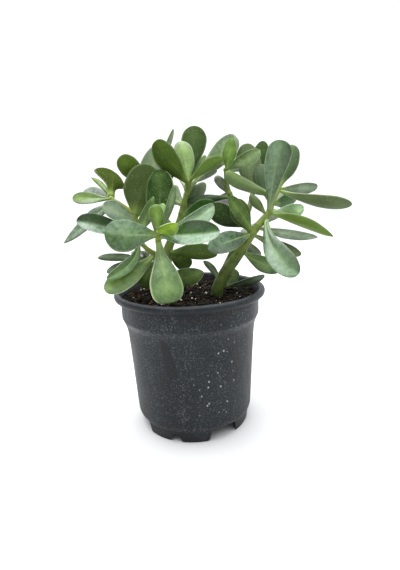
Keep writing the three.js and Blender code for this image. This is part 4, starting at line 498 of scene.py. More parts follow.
def leaf_mesh(leaf, seed):
    """Vertices, faces and surface attributes of one fleshy blade."""
    base, tip, face, width, bow, sway, widest, neck, flare, point, cup, fold, tone, shade, rims, sheen_side = leaf
    B, T, N = np.array(base, float), np.array(tip, float), unit(face)
    M = (B + T) / 2 + N * bow + np.array(sway, float)
    length = np.linalg.norm(T - B)
    rng = random.Random(seed)
    wob = [rng.uniform(0, 6.28) for _ in range(6)]
    small = min(1.0, width / 22.0)
    verts, at_t, at_x, at_up, at_rim = [], [], [], [], []
    ts = [(1 - math.cos(math.pi * i / LONG)) / 2 for i in range(LONG + 1)]
    for i, t in enumerate(ts):
        P = (1 - t) ** 2 * B + 2 * t * (1 - t) * M + t * t * T
        D = unit(2 * (1 - t) * (M - B) + 2 * t * (T - M))
        n = unit(N - N.dot(D) * D)
        side = np.cross(n, D)
        w, h = leaf_section(t, width, widest, neck, flare, point)
        if i in (0, LONG):
            verts.append(P)
            at_t.append(t); at_x.append(0.0); at_up.append(0.0); at_rim.append(max(rims, key=abs))
            continue
        # the margin isn't quite even, and the blade waves and twists a little
        mid = smooth01(t / 0.35) * smooth01((1 - t) / 0.12)
        wl = 1 + 0.022 * mid * math.sin(2 * math.pi * 1.3 * t + wob[0]) + 0.012 * mid * math.sin(2 * math.pi * 3.1 * t + wob[1])
        wr = 1 + 0.022 * mid * math.sin(2 * math.pi * 1.5 * t + wob[2]) + 0.012 * mid * math.sin(2 * math.pi * 2.7 * t + wob[3])
        lift = 0.35 * small * mid * math.sin(2 * math.pi * 1.1 * t + wob[4])
        tilt = 0.35 * small * mid * math.sin(2 * math.pi * 0.9 * t + wob[5])
        for j in range(ROUND):
            phi = 2 * math.pi * j / ROUND
            c, s = math.cos(phi), math.sin(phi)
            x = w * c * (wl if c > 0 else wr)
            if s >= 0:
                z = 0.86 * h * s ** 1.25
                # a shallow trough along the midrib of the upper face, deepest near the base
                z -= 0.42 * h * math.exp(-(c / 0.26) ** 2) * max(0.0, 1 - t / 0.75) * smooth01(t / 0.12) * s
            else:
                z = -1.08 * h * (-s) ** 1.1
                z -= 0.16 * h * math.exp(-(c / 0.2) ** 2) * max(0.0, 1 - t / 0.8) * (-s)
            rise = cup * x * x / (width / 2) + fold * min(1.0, t / 0.35) * (math.hypot(x, 0.9) - 0.9) + lift * (1 - c * c) + tilt * c * abs(c) * (abs(x) / (width / 2))
            p = P + side * x + n * (z + rise)
            p = p + n * (0.16 * small * mid * wave(p, 0.16, seed * 1.7))
            verts.append(p)
            at_t.append(t); at_x.append(c); at_up.append(s); at_rim.append(rims[0] if c < 0 else rims[1])
    faces = []
    ring = lambda i, j: 1 + (i - 1) * ROUND + j % ROUND
    last = 1 + (LONG - 1) * ROUND
    for j in range(ROUND):
        faces.append((0, ring(1, j), ring(1, j + 1)))
        faces.append((last, ring(LONG - 1, j + 1), ring(LONG - 1, j)))
        for i in range(1, LONG - 1):
            faces.append((ring(i, j), ring(i + 1, j), ring(i + 1, j + 1), ring(i, j + 1)))
    k = TONES[tone]
    rgb = np.array(k["rgb"]) * shade
    count = len(verts)
    rib = 0.16 + 0.9 * abs(fold)
    # painted sheen and shade: one half of a folded blade is painted lighter and waxier, the other half darker
    half = [sheen_side * math.tanh(5.0 * c) * smooth01((t - 0.08) / 0.4) for t, c in zip(at_t, at_x)]
    at_rgb = [rgb * (1.0 + 0.55 * h) for h in half]
    at_bloom_and_sheen = [min(0.9, max(0.0, k["bloom_and_sheen"] + 0.45 * h)) if up > 0 else k["bloom_and_sheen"] for h, up in zip(half, at_up)]
    return verts, faces, at_t, at_x, at_up, at_rgb, at_bloom_and_sheen, [k["dots"]] * count, at_rim, [rib] * count


def leaf_material(name, gloss, grain, lit_veil_gain):
    """Waxy skin: finely mottled green, dusty bloom with painted sheen, thin midrib and rim, small pale dots."""
    n = Nodes(name)
    co = n.coords()
    t, x, up = n.attr("leaf_t"), n.attr("leaf_x"), n.attr("leaf_up")
    tone = n.attr("leaf_rgb", "Color")
    bloom_and_sheen, dots, rim, rib = n.attr("leaf_bloom"), n.attr("leaf_dots"), n.attr("leaf_rim"), n.attr("leaf_rib")
    ax = n.math("ABSOLUTE", x)
    top = n.ramp(up, -0.15, 0.25)
    big = n.noise(co, 75.0, 3.0, 0.5)
    mid = n.noise(co, 260.0, 4.0, 0.6)
    fine = n.noise(co, 760.0, 5.0, 0.70)
    # mottled base
    dark = n.mix(1.0, tone, (0.64, 0.70, 0.56), "MULTIPLY")
    light = n.mix(1.0, tone, (1.34, 1.28, 1.32), "MULTIPLY")
    body = n.mix(n.ramp(big, 0.36, 0.64), dark, light)
    body = n.mix(n.math("MULTIPLY", n.ramp(fine, 0.45, 0.66), grain), body, n.mix(1.0, tone, (1.90, 1.72, 2.00), "MULTIPLY"))
    body = n.mix(n.math("MULTIPLY", n.ramp(fine, 0.50, 0.32), grain), body, n.mix(1.0, tone, (0.42, 0.52, 0.32), "MULTIPLY"))
    # deeper green towards the margins, brighter along the middle
    body = n.mix(n.math("MULTIPLY", n.ramp(ax, 0.40, 0.92), 0.80), body, n.mix(1.0, body, (0.52, 0.60, 0.44), "MULTIPLY"))
    body = n.mix(n.math("MULTIPLY", n.ramp(ax, 0.45, 0.0), 0.60), body, n.mix(1.0, body, (1.45, 1.36, 1.15), "MULTIPLY"))
    # underside: duller and a little paler
    body = n.mix(top, n.mix(0.60, body, n.mix(1.0, tone, (1.25, 1.12, 1.35), "MULTIPLY")), body)
    # bloom and painted sheen: a pale veil, strongest on the glossier finishes and on upper faces
    bloom_and_sheen_veil = n.math("MULTIPLY", n.math("MULTIPLY", bloom_and_sheen, lit_veil_gain), n.ramp(mid, 0.36, 0.62, 0.25, 1.15))
    bloom_and_sheen_veil = n.math("MULTIPLY", bloom_and_sheen_veil, n.ramp(big, 0.30, 0.60, 0.65, 1.0))
    bloom_and_sheen_veil = n.math("MULTIPLY", bloom_and_sheen_veil, n.math("ADD", n.math("MULTIPLY", top, 0.65), 0.35))
    bloom_and_sheen_veil = n.math("MULTIPLY", bloom_and_sheen_veil, n.ramp(t, 0.02, 0.38, 0.35, 1.0))
    body = n.mix(bloom_and_sheen_veil, body, (0.320, 0.430, 0.340))
    # pale foot, then the midrib
    body = n.mix(n.math("MULTIPLY", n.ramp(t, 0.30, 0.02), 0.50), body, (0.260, 0.360, 0.095))
    line = n.math("MULTIPLY", n.ramp(ax, 0.14, 0.0), n.ramp(t, 0.92, 0.30))
    body = n.mix(n.math("MULTIPLY", n.math("MULTIPLY", line, rib), n.math("ADD", n.math("MULTIPLY", top, 0.7), 0.3), clamp=True), body, (0.380, 0.480, 0.210))
    # rim
    edge = n.ramp(ax, 0.86, 0.975)
    pale = n.math("MULTIPLY", edge, n.math("MAXIMUM", rim, 0.0))
    body = n.mix(pale, body, (0.460, 0.520, 0.300))
    burnt = n.math("MULTIPLY", n.math("MULTIPLY", n.ramp(ax, 0.74, 0.95), n.ramp(t, 0.62, 0.90)), n.math("MAXIMUM", n.math("MULTIPLY", rim, -1.0), 0.0))
    body = n.mix(burnt, body, (0.060, 0.034, 0.030))
    # dots
    cell = n.voronoi(co, 520.0)
    spot = n.math("MULTIPLY", n.ramp(cell, 0.20, 0.10), n.math("MULTIPLY", dots, n.ramp(mid, 0.36, 0.60, 0.15, 1.0)))
    body = n.mix(n.math("MULTIPLY", spot, 0.85), body, (0.430, 0.520, 0.330))
    rough = n.math("ADD", n.math("MULTIPLY", bloom_and_sheen, 0.10), n.ramp(mid, 0.30, 0.70, 0.22, 0.33))
    rough = n.math("ADD", rough, n.math("MULTIPLY", n.ramp(top, 1.0, 0.0), 0.14))
    rough = n.math("ADD", rough, n.ramp(fine, 0.35, 0.65, 0.08, -0.04))
    height = n.math("ADD", n.math("MULTIPLY", fine, 0.7), n.math("MULTIPLY", mid, 0.8))
    height = n.math("ADD", height, n.math("MULTIPLY", n.ramp(cell, 0.25, 0.05), -0.3))
    n.set(Base_Color=body, Roughness=rough, Normal=n.bump(height, 0.50, 0.00030))
    n.set(Subsurface_Weight=0.08, Subsurface_Radius=(0.5, 1.0, 0.25), Subsurface_Scale=0.0020, Specular_IOR_Level=gloss)
    return n.mat


# The four finishes are lit and shaded copies of one leaf material: shaded and deep leaves lose the specular and most of
# the pale veil, fresh and silvery ones keep the veil as painted sheen, and silvery ones also get stronger pale mottling
# as painted glints
LEAF_MATERIALS = {"shaded": leaf_material("shaded_leaf", 0.0, 0.42, 0.10), "deep": leaf_material("deep_leaf", 0.14, 0.42, 0.30), "fresh": leaf_material("fresh_leaf", 0.40, 0.42, 0.80), "silvery": leaf_material("silvery_leaf", 0.66, 0.58, 1.0)}

seed = 11
for name, slot, finish, group in LEAVES:
    V, F, A = [], [], [[] for _ in range(8)]
    for leaf in group:
        v, f, *attrs = leaf_mesh(leaf, seed)
        seed += 1
        F += [tuple(i + len(V) for i in face) for face in f]
        V += v
        for store, more in zip(A, attrs):
            store += list(more)
    ob = mesh_object(name + "_skin", V, F)
    for key, values in zip(("leaf_t", "leaf_x", "leaf_up"), A[:3]):
        put_float(ob, key, values)
    put_colour(ob, "leaf_rgb", A[3])
    put_float(ob, "leaf_bloom", A[4])
    put_float(ob, "leaf_dots", A[5])
    put_float(ob, "leaf_rim", A[6])
    put_float(ob, "leaf_rib", A[7])
    outward(ob)
    ob.data.materials.append(LEAF_MATERIALS[finish])
    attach(ob, "root")
    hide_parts(name)

# ---------------------------------------------------------------------------
# Stems
# ---------------------------------------------------------------------------

# points in millimetres and radii
STEMS = {
    "trunk_right": ([(23.4, -13.7, 100.0), (24.2, -13.7, 118.0), (27.5, -13.0, 138.8), (32.4, -12.0, 149.5), (38.2, -11.0, 159.1), (45.3, -11.0, 167.7), (52.7, -12.0, 178.4), (59.0, -13.0, 187.9), (65.5, -12.0, 196.6), (73.6, -10.5, 205.2), (80.6, -9.0, 212.4)],
        [3.84, 5.88, 6.19, 6.17, 5.91, 5.39, 4.86, 4.33, 4.08, 3.60, 3.02]),
    "fork_right": ([(34.8, -9.0, 153.8), (40.8, -7.0, 166.3), (46.5, -7.0, 177.0), (53.2, -9.0, 184.8), (60.8, -11.0, 190.5)],
        [4.72, 4.36, 3.94, 3.41, 2.90]),
    "upper_right": ([(62.6, -12.0, 191.5), (56.9, -6.0, 205.6), (49.9, 2.0, 219.1), (43.3, 6.0, 232.8), (41.3, 8.0, 243.4), (40.9, 8.0, 254.2)],
        [3.37, 2.91, 2.70, 2.46, 2.26, 2.10]),
    "trunk_left": ([(-23.5, -15.0, 100.0), (-23.4, -15.0, 118.0), (-22.9, -14.0, 146.7), (-22.0, -12.0, 163.2), (-19.2, -8.0, 180.2), (-12.7, -4.0, 194.1), (-6.1, -1.0, 208.1), (-1.4, 0.0, 224.1), (2.6, 0.0, 236.2), (4.5, 0.0, 245.4)],
        [3.95, 6.05, 6.37, 5.85, 4.63, 3.91, 3.42, 2.86, 2.50, 2.30]),
    "front_stem": ([(-22.1, -13.0, 161.4), (-23.7, -26.0, 177.2), (-25.4, -38.0, 189.9), (-25.3, -44.0, 195.8), (-24.3, -51.0, 202.0)],
        [4.38, 3.48, 2.89, 2.61, 1.95]),
    "left_branch": ([(-22.4, -12.0, 165.2), (-29.6, -16.0, 176.0), (-39.0, -20.0, 184.6), (-45.3, -20.0, 194.3), (-45.7, -19.0, 209.0), (-50.4, -19.0, 218.3), (-59.5, -21.0, 225.9), (-67.4, -22.0, 231.3)],
        [3.65, 2.68, 2.30, 2.19, 2.18, 2.02, 1.86, 1.76]),
    "right_tip_stem": ([(79.7, -9.0, 211.5), (84.7, -4.0, 223.4), (91.4, 0.0, 234.5)],
        [3.36, 2.90, 2.43]),
    "rear_left_branch": ([(-20.8, -9.0, 168.5), (-32.4, 4.0, 171.0), (-42.5, 13.0, 169.0)],
        [3.43, 3.03, 2.59]),
    "rear_branch": ([(-10.6, -3.0, 196.8), (-21.9, 5.0, 210.4), (-30.1, 8.0, 224.2), (-33.8, 10.0, 237.9), (-27.5, 13.0, 253.9)],
        [3.18, 2.97, 2.57, 2.37, 1.97]),
    "rear_right_branch": ([(57.6, -5.0, 207.5), (64.3, 8.0, 219.3), (69.0, 17.0, 231.9)],
        [2.92, 2.70, 2.44]),
}
LEFT = ["trunk_left", "front_stem", "left_branch", "rear_left_branch", "rear_branch"]
RIGHT = ["trunk_right", "fork_right", "upper_right", "right_tip_stem", "rear_right_branch"]

# colour low and high on each stem
STEM_TINTS = {
    "trunk_right": (colour(34, 52, 16), colour(98, 118, 40)),
    "fork_right": (colour(46, 68, 24), colour(70, 90, 34)),
    "upper_right": (colour(56, 74, 26), colour(92, 112, 40)),
    "right_tip_stem": (colour(92, 112, 44), colour(104, 126, 48)),
    "rear_right_branch": (colour(84, 90, 46), colour(112, 118, 64)),
    "trunk_left": (colour(64, 82, 28), colour(102, 124, 48)),
    "front_stem": (colour(76, 96, 26), colour(108, 130, 36)),
    "left_branch": (colour(108, 124, 48), colour(136, 144, 70)),
    "rear_left_branch": (colour(80, 96, 46), colour(100, 116, 56)),
    "rear_branch": (colour(84, 94, 46), colour(110, 122, 62)),
}


def smooth_line(points, radii, sub):
    P, R = np.array(points, float), list(radii)
    out, rad = [], []
    n = len(P)
    for i in range(n - 1):
        a, b, c, d = P[max(i - 1, 0)], P[i], P[i + 1], P[min(i + 2, n - 1)]
        for k in range(sub):
            t = k / sub
            out.append(0.5 * (2 * b + (c - a) * t + (2 * a - 5 * b + 4 * c - d) * t * t + (3 * b - a - 3 * c + d) * t ** 3))
            rad.append(R[i] * (1 - t) + R[i + 1] * t)
    out.append(P[-1])
    rad.append(R[-1])
    return np.array(out), np.array(rad)


def tube(Q, R, around=20):
    """A closed tube with domed ends."""
    verts, faces = [], []
    frame_n = None
    for i in range(len(Q)):
        d = unit(Q[min(i + 1, len(Q) - 1)] - Q[max(i - 1, 0)])
        if frame_n is None:
            frame_n = unit(np.cross(d, [0.3, 1.0, 0.2]))
        frame_n = unit(frame_n - frame_n.dot(d) * d)
        m = np.cross(d, frame_n)
        for j in range(around):
            a = 2 * math.pi * j / around
            verts.append(Q[i] + R[i] * (math.cos(a) * frame_n + math.sin(a) * m))
    for i in range(len(Q) - 1):
        for j in range(around):
            a, b = i * around + j, i * around + (j + 1) % around
            faces.append((a, b, b + around, a + around))
    for i, way in ((0, -1), (len(Q) - 1, 1)):
        d = unit(Q[min(i + 1, len(Q) - 1)] - Q[max(i - 1, 0)]) * way
        verts.append(Q[i] + d * R[i] * 0.5)
        tip = len(verts) - 1
        for j in range(around):
            a, b = i * around + j, i * around + (j + 1) % around
            faces.append((a, tip, b) if way < 0 else (a, b, tip))
    return verts, faces


def blob(at, along, radius, flat, around=18, rings=8):
    """A flattened ball across a stem."""
    z = unit(along)
    x = unit(np.cross(z, [0.31, 0.82, 0.17]))
    y = np.cross(z, x)
    verts = [np.array(at) - z * radius * flat]
    for i in range(1, rings):
        a = math.pi * i / rings
        for j in range(around):
            b = 2 * math.pi * j / around
            verts.append(np.array(at) + radius * math.sin(a) * (math.cos(b) * x + math.sin(b) * y) - z * radius * flat * math.cos(a))
    verts.append(np.array(at) + z * radius * flat)
    faces = [(0, 1 + (j + 1) % around, 1 + j) for j in range(around)]
    for i in range(rings - 2):
        for j in range(around):
            a, b = 1 + i * around + j, 1 + i * around + (j + 1) % around
            faces.append((a, b, b + around, a + around))
    top = len(verts) - 1
    faces += [(top, top - around + j, top - around + (j + 1) % around) for j in range(around)]
    return verts, faces


def stem_object(name, parts):
    V, F = [], []
    axis, tint, ring = [], [], []

    def add(v, f):
        F.extend(tuple(i + len(V) for i in face) for face in f)
        V.extend(v)

    for part in parts:
        points, radii = STEMS[part]
        Q, R = smooth_line(points, radii, 14)
        run = np.concatenate([[0], np.cumsum(np.linalg.norm(np.diff(Q, axis=0), axis=1))])
        lo, hi = STEM_TINTS[part]
        rng = random.Random(sum(map(ord, part)))
        marks = []
        at = 9 + rng.uniform(0, 8)
        while at < run[-1]:
            marks.append(at)
            at += rng.uniform(15, 25)
        R2 = R.copy()
        closeness = np.zeros(len(Q))
        for mark in marks:
            bump = np.exp(-((run - mark) / 1.7) ** 2)
            R2 = R2 + R * 0.035 * bump
            closeness = np.maximum(closeness, 0.6 * np.exp(-((run - mark) / 0.55) ** 2))
        R2 = R2 * (1 + 0.025 * np.array([wave(q, 0.09, 3.1) for q in Q]))
        add(*tube(Q, R2))
        for q, s, c in zip(Q, run / run[-1], closeness):
            axis.append(q)
            tint.append(np.array(lo) * (1 - s) + np.array(hi) * s)
            ring.append(c)
    nodes = [n for n in NODES if n[0] == name]
    for _, at, along, radius in nodes:
        add(*blob(at, along, radius * 0.84, 0.75))
    ob = mesh_object(name + "_bark", V, F)
    outward(ob)
    remesh = ob.modifiers.new("join", "REMESH")
    remesh.mode = "VOXEL"
    remesh.voxel_size = 0.5 * MM
    even = ob.modifiers.new("even", "SMOOTH")
    even.factor = 0.5
    even.iterations = 7
    bake_modifiers(ob)
    ob.data.polygons.foreach_set("use_smooth", [True] * len(ob.data.polygons))
    tree = kdtree.KDTree(len(axis))
    for i, q in enumerate(axis):
        tree.insert(Vector(q) * MM, i)
    tree.balance()
    spots = [Vector(n[1]) * MM for n in nodes]
    cols, rings, fresh = [], [], []
    for v in ob.data.vertices:
        near = tree.find_n(v.co, 5)
        wsum = sum(1 / (d + 1e-5) for _, _, d in near)
        cols.append(sum(tint[i] / (d + 1e-5) for _, i, d in near) / wsum)
        rings.append(max(ring[i] for _, i, _ in near[:2]))
        d = min([(v.co - s).length for s in spots] or [1.0])
        fresh.append(math.exp(-((d / 0.0050) ** 2)))
    put_colour(ob, "stem_rgb", cols)
    put_float(ob, "stem_ring", rings)
    put_float(ob, "stem_node", fresh)
    return ob


def stem_material():
    n = Nodes("succulent_stem")
    co = n.coords()
    tint = n.attr("stem_rgb", "Color")
    ring, node = n.attr("stem_ring"), n.attr("stem_node")
    big = n.noise(co, 130.0, 3.0, 0.5)
    fine = n.noise(co, 900.0, 4.0, 0.65)
    streak = n.noise(n.scaled(co, (1.0, 1.0, 0.22)), 520.0, 3.0, 0.6)
    body = n.mix(n.ramp(big, 0.35, 0.65), n.mix(1.0, tint, (0.62, 0.66, 0.60), "MULTIPLY"), n.mix(1.0, tint, (1.22, 1.16, 1.10), "MULTIPLY"))
    body = n.mix(n.math("MULTIPLY", n.ramp(streak, 0.50, 0.72), 0.35), body, (0.200, 0.215, 0.095))
    body = n.mix(n.math("MULTIPLY", n.ramp(fine, 0.60, 0.75), 0.30), body, (0.100, 0.085, 0.040))
    body = n.mix(n.math("MULTIPLY", node, 0.30), body, (0.240, 0.310, 0.080))
    body = n.mix(n.math("MULTIPLY", ring, 0.45), body, (0.120, 0.095, 0.045))
    height = n.math("ADD", n.math("MULTIPLY", streak, 0.8), n.math("MULTIPLY", fine, 0.5))
    n.set(Base_Color=body, Roughness=n.ramp(fine, 0.3, 0.7, 0.40, 0.58), Normal=n.bump(height, 0.45, 0.0004), Specular_IOR_Level=0.30)
    n.set(Subsurface_Weight=0.06, Subsurface_Radius=(0.5, 0.9, 0.25), Subsurface_Scale=0.002)
    return n.mat


STEM_MATERIAL = stem_material()
for name, parts in (("stem_left", LEFT), ("stem_right", RIGHT)):
    ob = stem_object(name, parts)
    ob.data.materials.append(STEM_MATERIAL)
    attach(ob, "root")
    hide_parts(name)

# ---------------------------------------------------------------------------
# Pot
# ---------------------------------------------------------------------------

H = 141.0
AROUND = 240


def rounded(points, steps=5):
    """Corners given as (r, z, fillet) become arcs."""
    out = []
    for i, (r, z, f) in enumerate(points):
        p = np.array([r, z], float)
        if f <= 0 or i in (0, len(points) - 1):
            out.append(p)
            continue
        a = np.array(points[i - 1][:2], float)
        b = np.array(points[i + 1][:2], float)
        da, db = min(f, 0.48 * np.linalg.norm(a - p)), min(f, 0.48 * np.linalg.norm(b - p))
        s, e = p + unit(a - p) * da, p + unit(b - p) * db
        for k in range(steps + 1):
            t = k / steps
            out.append((1 - t) ** 2 * s + 2 * t * (1 - t) * p + t * t * e)
    return out


POT_PROFILE = rounded([
    (0, 0, 0), (15.7, 0, 0.8), (16.6, 11.8, 1.2), (18.3, 13.2, 1.2), (53.2, 13.2, 1.0), (54.5, 12.0, 1.0),
    (55.15, 0, 0.35), (56.6, 0, 0.5), (58.1, 11.6, 2.2), (59.5, 13.4, 1.4), (60.2, 16, 2.0), (61.1, 32, 4), (62.6, 61, 6),
    (64.5, 95, 6), (65.1, 102, 5), (66.2, 106.9, 4), (67.7, 111.1, 3), (69.5, 115.2, 1.2), (69.7, 116.5, 0.9),
    (69.7, 132.6, 0.9), (70.4, 133.6, 0.6), (74.2, 133.8, 1.4), (75.6, 135.2, 1.2), (76.0, 137.0, 1.4), (75.7, 139.0, 1.2),
    (74.6, 140.4, 1.0), (73.0, 141.0, 1.0), (71.3, 140.5, 1.0), (70.2, 139.2, 1.2), (69.6, 137.6, 1.6), (68.1, 133.0, 2),
    (68.05, 116.5, 1.2), (66.0, 110.9, 3), (64.5, 106.9, 3), (63.45, 102.0, 4), (62.75, 95, 4), (60.9, 61, 6), (59.3, 32, 6),
    (58.3, 19, 3), (56.6, 15, 2.4), (17.6, 15, 1.5), (15.4, 13.6, 1.5), (14.3, 1.5, 1.2), (0, 1.5, 0),
])
# degrees round from the front, and half of the outline as (half width, height)
WIDE_AT = (28.3, 116.3, 204.3, 292.3)
WIDE_OUTLINE = ((16.9, -0.3), (16.1, 0.4), (15.4, 1.4), (15.0, 3.0), (14.6, 6.0), (14.1, 9.0), (13.6, 10.7), (12.7, 12.0), (11.4, 12.8), (10.0, 13.0))
SMALL_AT = (-20.0, 75.3, 160.3, 248.3)
SMALL_OUTLINE = ((8.2, -0.3), (6.6, 0.3), (5.5, 1.2), (4.6, 2.7), (3.9, 4.6), (3.3, 6.2), (2.6, 7.5), (1.7, 8.2), (0.8, 8.4))


def lathe(profile, around):
    verts, faces, rows = [], [], []
    for r, z in profile:
        if r < 1e-6:
            rows.append([len(verts)])
            verts.append((0.0, 0.0, z))
        else:
            rows.append(list(range(len(verts), len(verts) + around)))
            verts += [(r * math.sin(2 * math.pi * j / around), -r * math.cos(2 * math.pi * j / around), z) for j in range(around)]
    for a, b in zip(rows, rows[1:]):
        for j in range(around):
            k = (j + 1) % around
            if len(a) == 1 and len(b) == 1:
                continue
            if len(a) == 1:
                faces.append((a[0], b[k], b[j]))
            elif len(b) == 1:
                faces.append((a[j], a[k], b[0]))
            else:
                faces.append((a[j], a[k], b[k], b[j]))
    return verts, faces


def prism(outline, turn, depth):
    """A prism along the foot's radius at an angle in degrees."""
    verts, n = [], len(outline)
    c, s = math.cos(math.radians(turn)), math.sin(math.radians(turn))
    for d in depth:
        for x, z in outline:
            verts.append((x * c + d * s, x * s - d * c, z))
    faces = [tuple(range(n)), tuple(reversed(range(n, 2 * n)))]
    faces += [(i, i + n, (i + 1) % n + n, (i + 1) % n) for i in range(n)]
    return verts, faces


def notch(half_outline, turn):
    """Cuts one notch out of the foot."""
    half = list(half_outline)
    outline = [(half[0][0], -2.0)] + half + [(-x, z) for x, z in reversed(half)] + [(-half[0][0], -2.0)]
    return prism(outline, turn, (42.0, 68.0))


def web(turn):
    """A wall behind a wide notch, deepest under the floor; the notch leaves its two ends."""
    c, s = math.cos(math.radians(turn)), math.sin(math.radians(turn))
    verts = []
    for x in (-18.0, 18.0):
        for d, z in ((52.6, 0.4), (53.2, 0.4), (54.4, 13.4), (47.2, 13.4)):
            verts.append((x * c + d * s, x * s - d * c, z))
    faces = [(0, 1, 2, 3), (7, 6, 5, 4)] + [(i, i + 4, (i + 1) % 4 + 4, (i + 1) % 4) for i in range(4)]
    return verts, faces


def collect(parts):
    V, F = [], []
    for v, f in parts:
        F += [tuple(i + len(V) for i in face) for face in f]
        V += v
    return V, F


pot = mesh_object("nursery_pot", *lathe(POT_PROFILE, AROUND))
outward(pot)
holes = []
for turn in WIDE_AT:
    c = math.radians(turn)
    cx, cy = 40 * math.sin(c), -40 * math.cos(c)
    v = [(cx + 4.5 * math.cos(a), cy + 4.5 * math.sin(a), z) for z in (9.0, 19.0) for a in np.linspace(0, 2 * math.pi, 25)[:-1]]
    f = [tuple(range(24)), tuple(reversed(range(24, 48)))] + [(i, 24 + i, 24 + (i + 1) % 24, (i + 1) % 24) for i in range(24)]
    holes.append((v, f))
for operation, parts in (
    ("UNION", [web(turn) for turn in WIDE_AT]),
    ("DIFFERENCE", [notch(WIDE_OUTLINE, turn) for turn in WIDE_AT] + [notch(SMALL_OUTLINE, turn) for turn in SMALL_AT] + holes),
):
    tool = mesh_object("tool", *collect(parts), smooth=False)
    outward(tool)
    step = pot.modifiers.new("foot", "BOOLEAN")
    step.operation = operation
    step.solver = "EXACT"
    step.object = tool
    bake_modifiers(pot)
    bpy.data.objects.remove(tool)
bm = bmesh.new()
bm.from_mesh(pot.data)
bmesh.ops.remove_doubles(bm, verts=bm.verts, dist=2e-6)
bmesh.ops.dissolve_degenerate(bm, edges=bm.edges, dist=1e-6)
bm.to_mesh(pot.data)
bm.free()
pot.data.polygons.foreach_set("use_smooth", [True] * len(pot.data.polygons))
pot.data.set_sharp_from_angle(angle=math.radians(38))


def pot_material():
    """Moulded black plastic with fine pale dust, scuffed edges, a painted highlight along the rim's crest and a few
    specks of dried water.
    """
    n = Nodes("pot_plastic")
    co = n.coords()
    x, y, z = n.xyz(co)
    around = n.math("ARCTAN2", x, n.math("MULTIPLY", y, -1.0))   # 0 in front, positive to the right
    big = n.noise(co, 20.0, 4.0, 0.6)
    soft = n.noise(n.scaled(co, (1.0, 1.0, 0.30)), 70.0, 4.0, 0.6)
    grit = n.noise(co, 640.0, 4.0, 0.80)
    fine = n.noise(co, 1100.0, 3.0, 0.6)
    body = n.mix(n.ramp(big, 0.35, 0.65), (0.0050, 0.0066, 0.0084), (0.0110, 0.0134, 0.0158))
    # dust in small blotches, thinner on the foot
    dust = n.math("MULTIPLY", n.ramp(grit, 0.51, 0.66), n.ramp(soft, 0.32, 0.66, 0.30, 1.0))
    dust = n.math("MULTIPLY", dust, n.ramp(z, 0.004, 0.030, 0.5, 1.0))
    dust = n.math("MULTIPLY", dust, n.ramp(z, 0.128, 0.134, 1.0, 0.30))
    body = n.mix(n.math("MULTIPLY", dust, 0.90), body, (0.100, 0.111, 0.120))
    body = n.mix(n.math("MULTIPLY", n.ramp(soft, 0.54, 0.80), 0.30), body, (0.070, 0.077, 0.085))
    # scuffs where the wall steps out under the collar
    band = n.math("ABSOLUTE", n.math("SUBTRACT", z, 0.1125))
    scuff = n.math("MULTIPLY", n.ramp(band, 0.0042, 0.0006), n.ramp(grit, 0.42, 0.60, 0.10, 1.0))
    scuff = n.math("MULTIPLY", scuff, n.ramp(n.math("ABSOLUTE", around), 0.45, 1.00, 0.25, 1.0))
    body = n.mix(n.math("MULTIPLY", scuff, 0.60), body, (0.190, 0.200, 0.205))
    foot = n.math("MULTIPLY", n.ramp(n.math("ABSOLUTE", n.math("SUBTRACT", z, 0.0150)), 0.0030, 0.0004), n.ramp(grit, 0.45, 0.62, 0.0, 1.0))
    body = n.mix(n.math("MULTIPLY", foot, 0.30), body, (0.120, 0.128, 0.135))
    # painted highlight: the rounded top of the rim is lighter and bluer, broken up by soft noise
    painted_crest_highlight = n.math("MULTIPLY", n.ramp(z, 0.1385, 0.1408), n.ramp(soft, 0.38, 0.62, 0.3, 1.0))
    body = n.mix(n.math("MULTIPLY", painted_crest_highlight, 0.22), body, (0.070, 0.082, 0.098))
    # white specks, most of them right of the middle of the front
    cell = n.voronoi(n.scaled(co, (1.0, 1.0, 0.8)), 165.0)
    place = n.math("MULTIPLY", n.ramp(n.math("ABSOLUTE", n.math("SUBTRACT", around, 0.36)), 0.46, 0.12), n.ramp(n.math("ABSOLUTE", n.math("SUBTRACT", z, 0.072)), 0.056, 0.024))
    speck = n.math("MULTIPLY", n.ramp(cell, 0.170, 0.090), n.math("ADD", n.math("MULTIPLY", place, 0.85), 0.06))
    body = n.mix(speck, body, (0.36, 0.38, 0.39))
    tiny = n.voronoi(co, 400.0)
    body = n.mix(n.math("MULTIPLY", n.math("MULTIPLY", n.ramp(tiny, 0.17, 0.10), n.ramp(soft, 0.40, 0.62, 0.15, 0.80)), n.ramp(z, 0.128, 0.134, 1.0, 0.3)), body, (0.170, 0.182, 0.190))
    # a wiped streak left of the middle, leaning a little, wider low down
    lean = n.math("ADD", n.math("ADD", around, 0.350), n.math("MULTIPLY", n.math("SUBTRACT", z, 0.089), 2.7))
    wide = n.math("ADD", n.math("MULTIPLY", n.math("SUBTRACT", 0.089, z), 1.4), 0.075)
    wipe = n.math("MULTIPLY", n.ramp(n.math("DIVIDE", n.math("ABSOLUTE", lean), wide), 1.15, 0.85), n.ramp(n.math("ABSOLUTE", n.math("SUBTRACT", z, 0.089)), 0.0200, 0.0160))
    body = n.mix(n.math("MULTIPLY", wipe, 0.80), body, (0.0060, 0.0075, 0.0090))
    rough = n.math("SUBTRACT", n.ramp(soft, 0.30, 0.70, 0.42, 0.56), n.math("MULTIPLY", wipe, 0.06))
    height = n.math("ADD", n.math("MULTIPLY", fine, 0.4), n.math("MULTIPLY", grit, 0.6))
    n.set(Base_Color=body, Roughness=rough, Normal=n.bump(height, 0.35, 0.00030), Specular_IOR_Level=0.24)
    return n.mat


pot.data.materials.append(pot_material())
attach(pot, "root")
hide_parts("pot")

# ---------------------------------------------------------------------------
# Potting mix: a rough surface, bark chips, fibres, pale grains and perlite
# ---------------------------------------------------------------------------

SOIL = 133.4


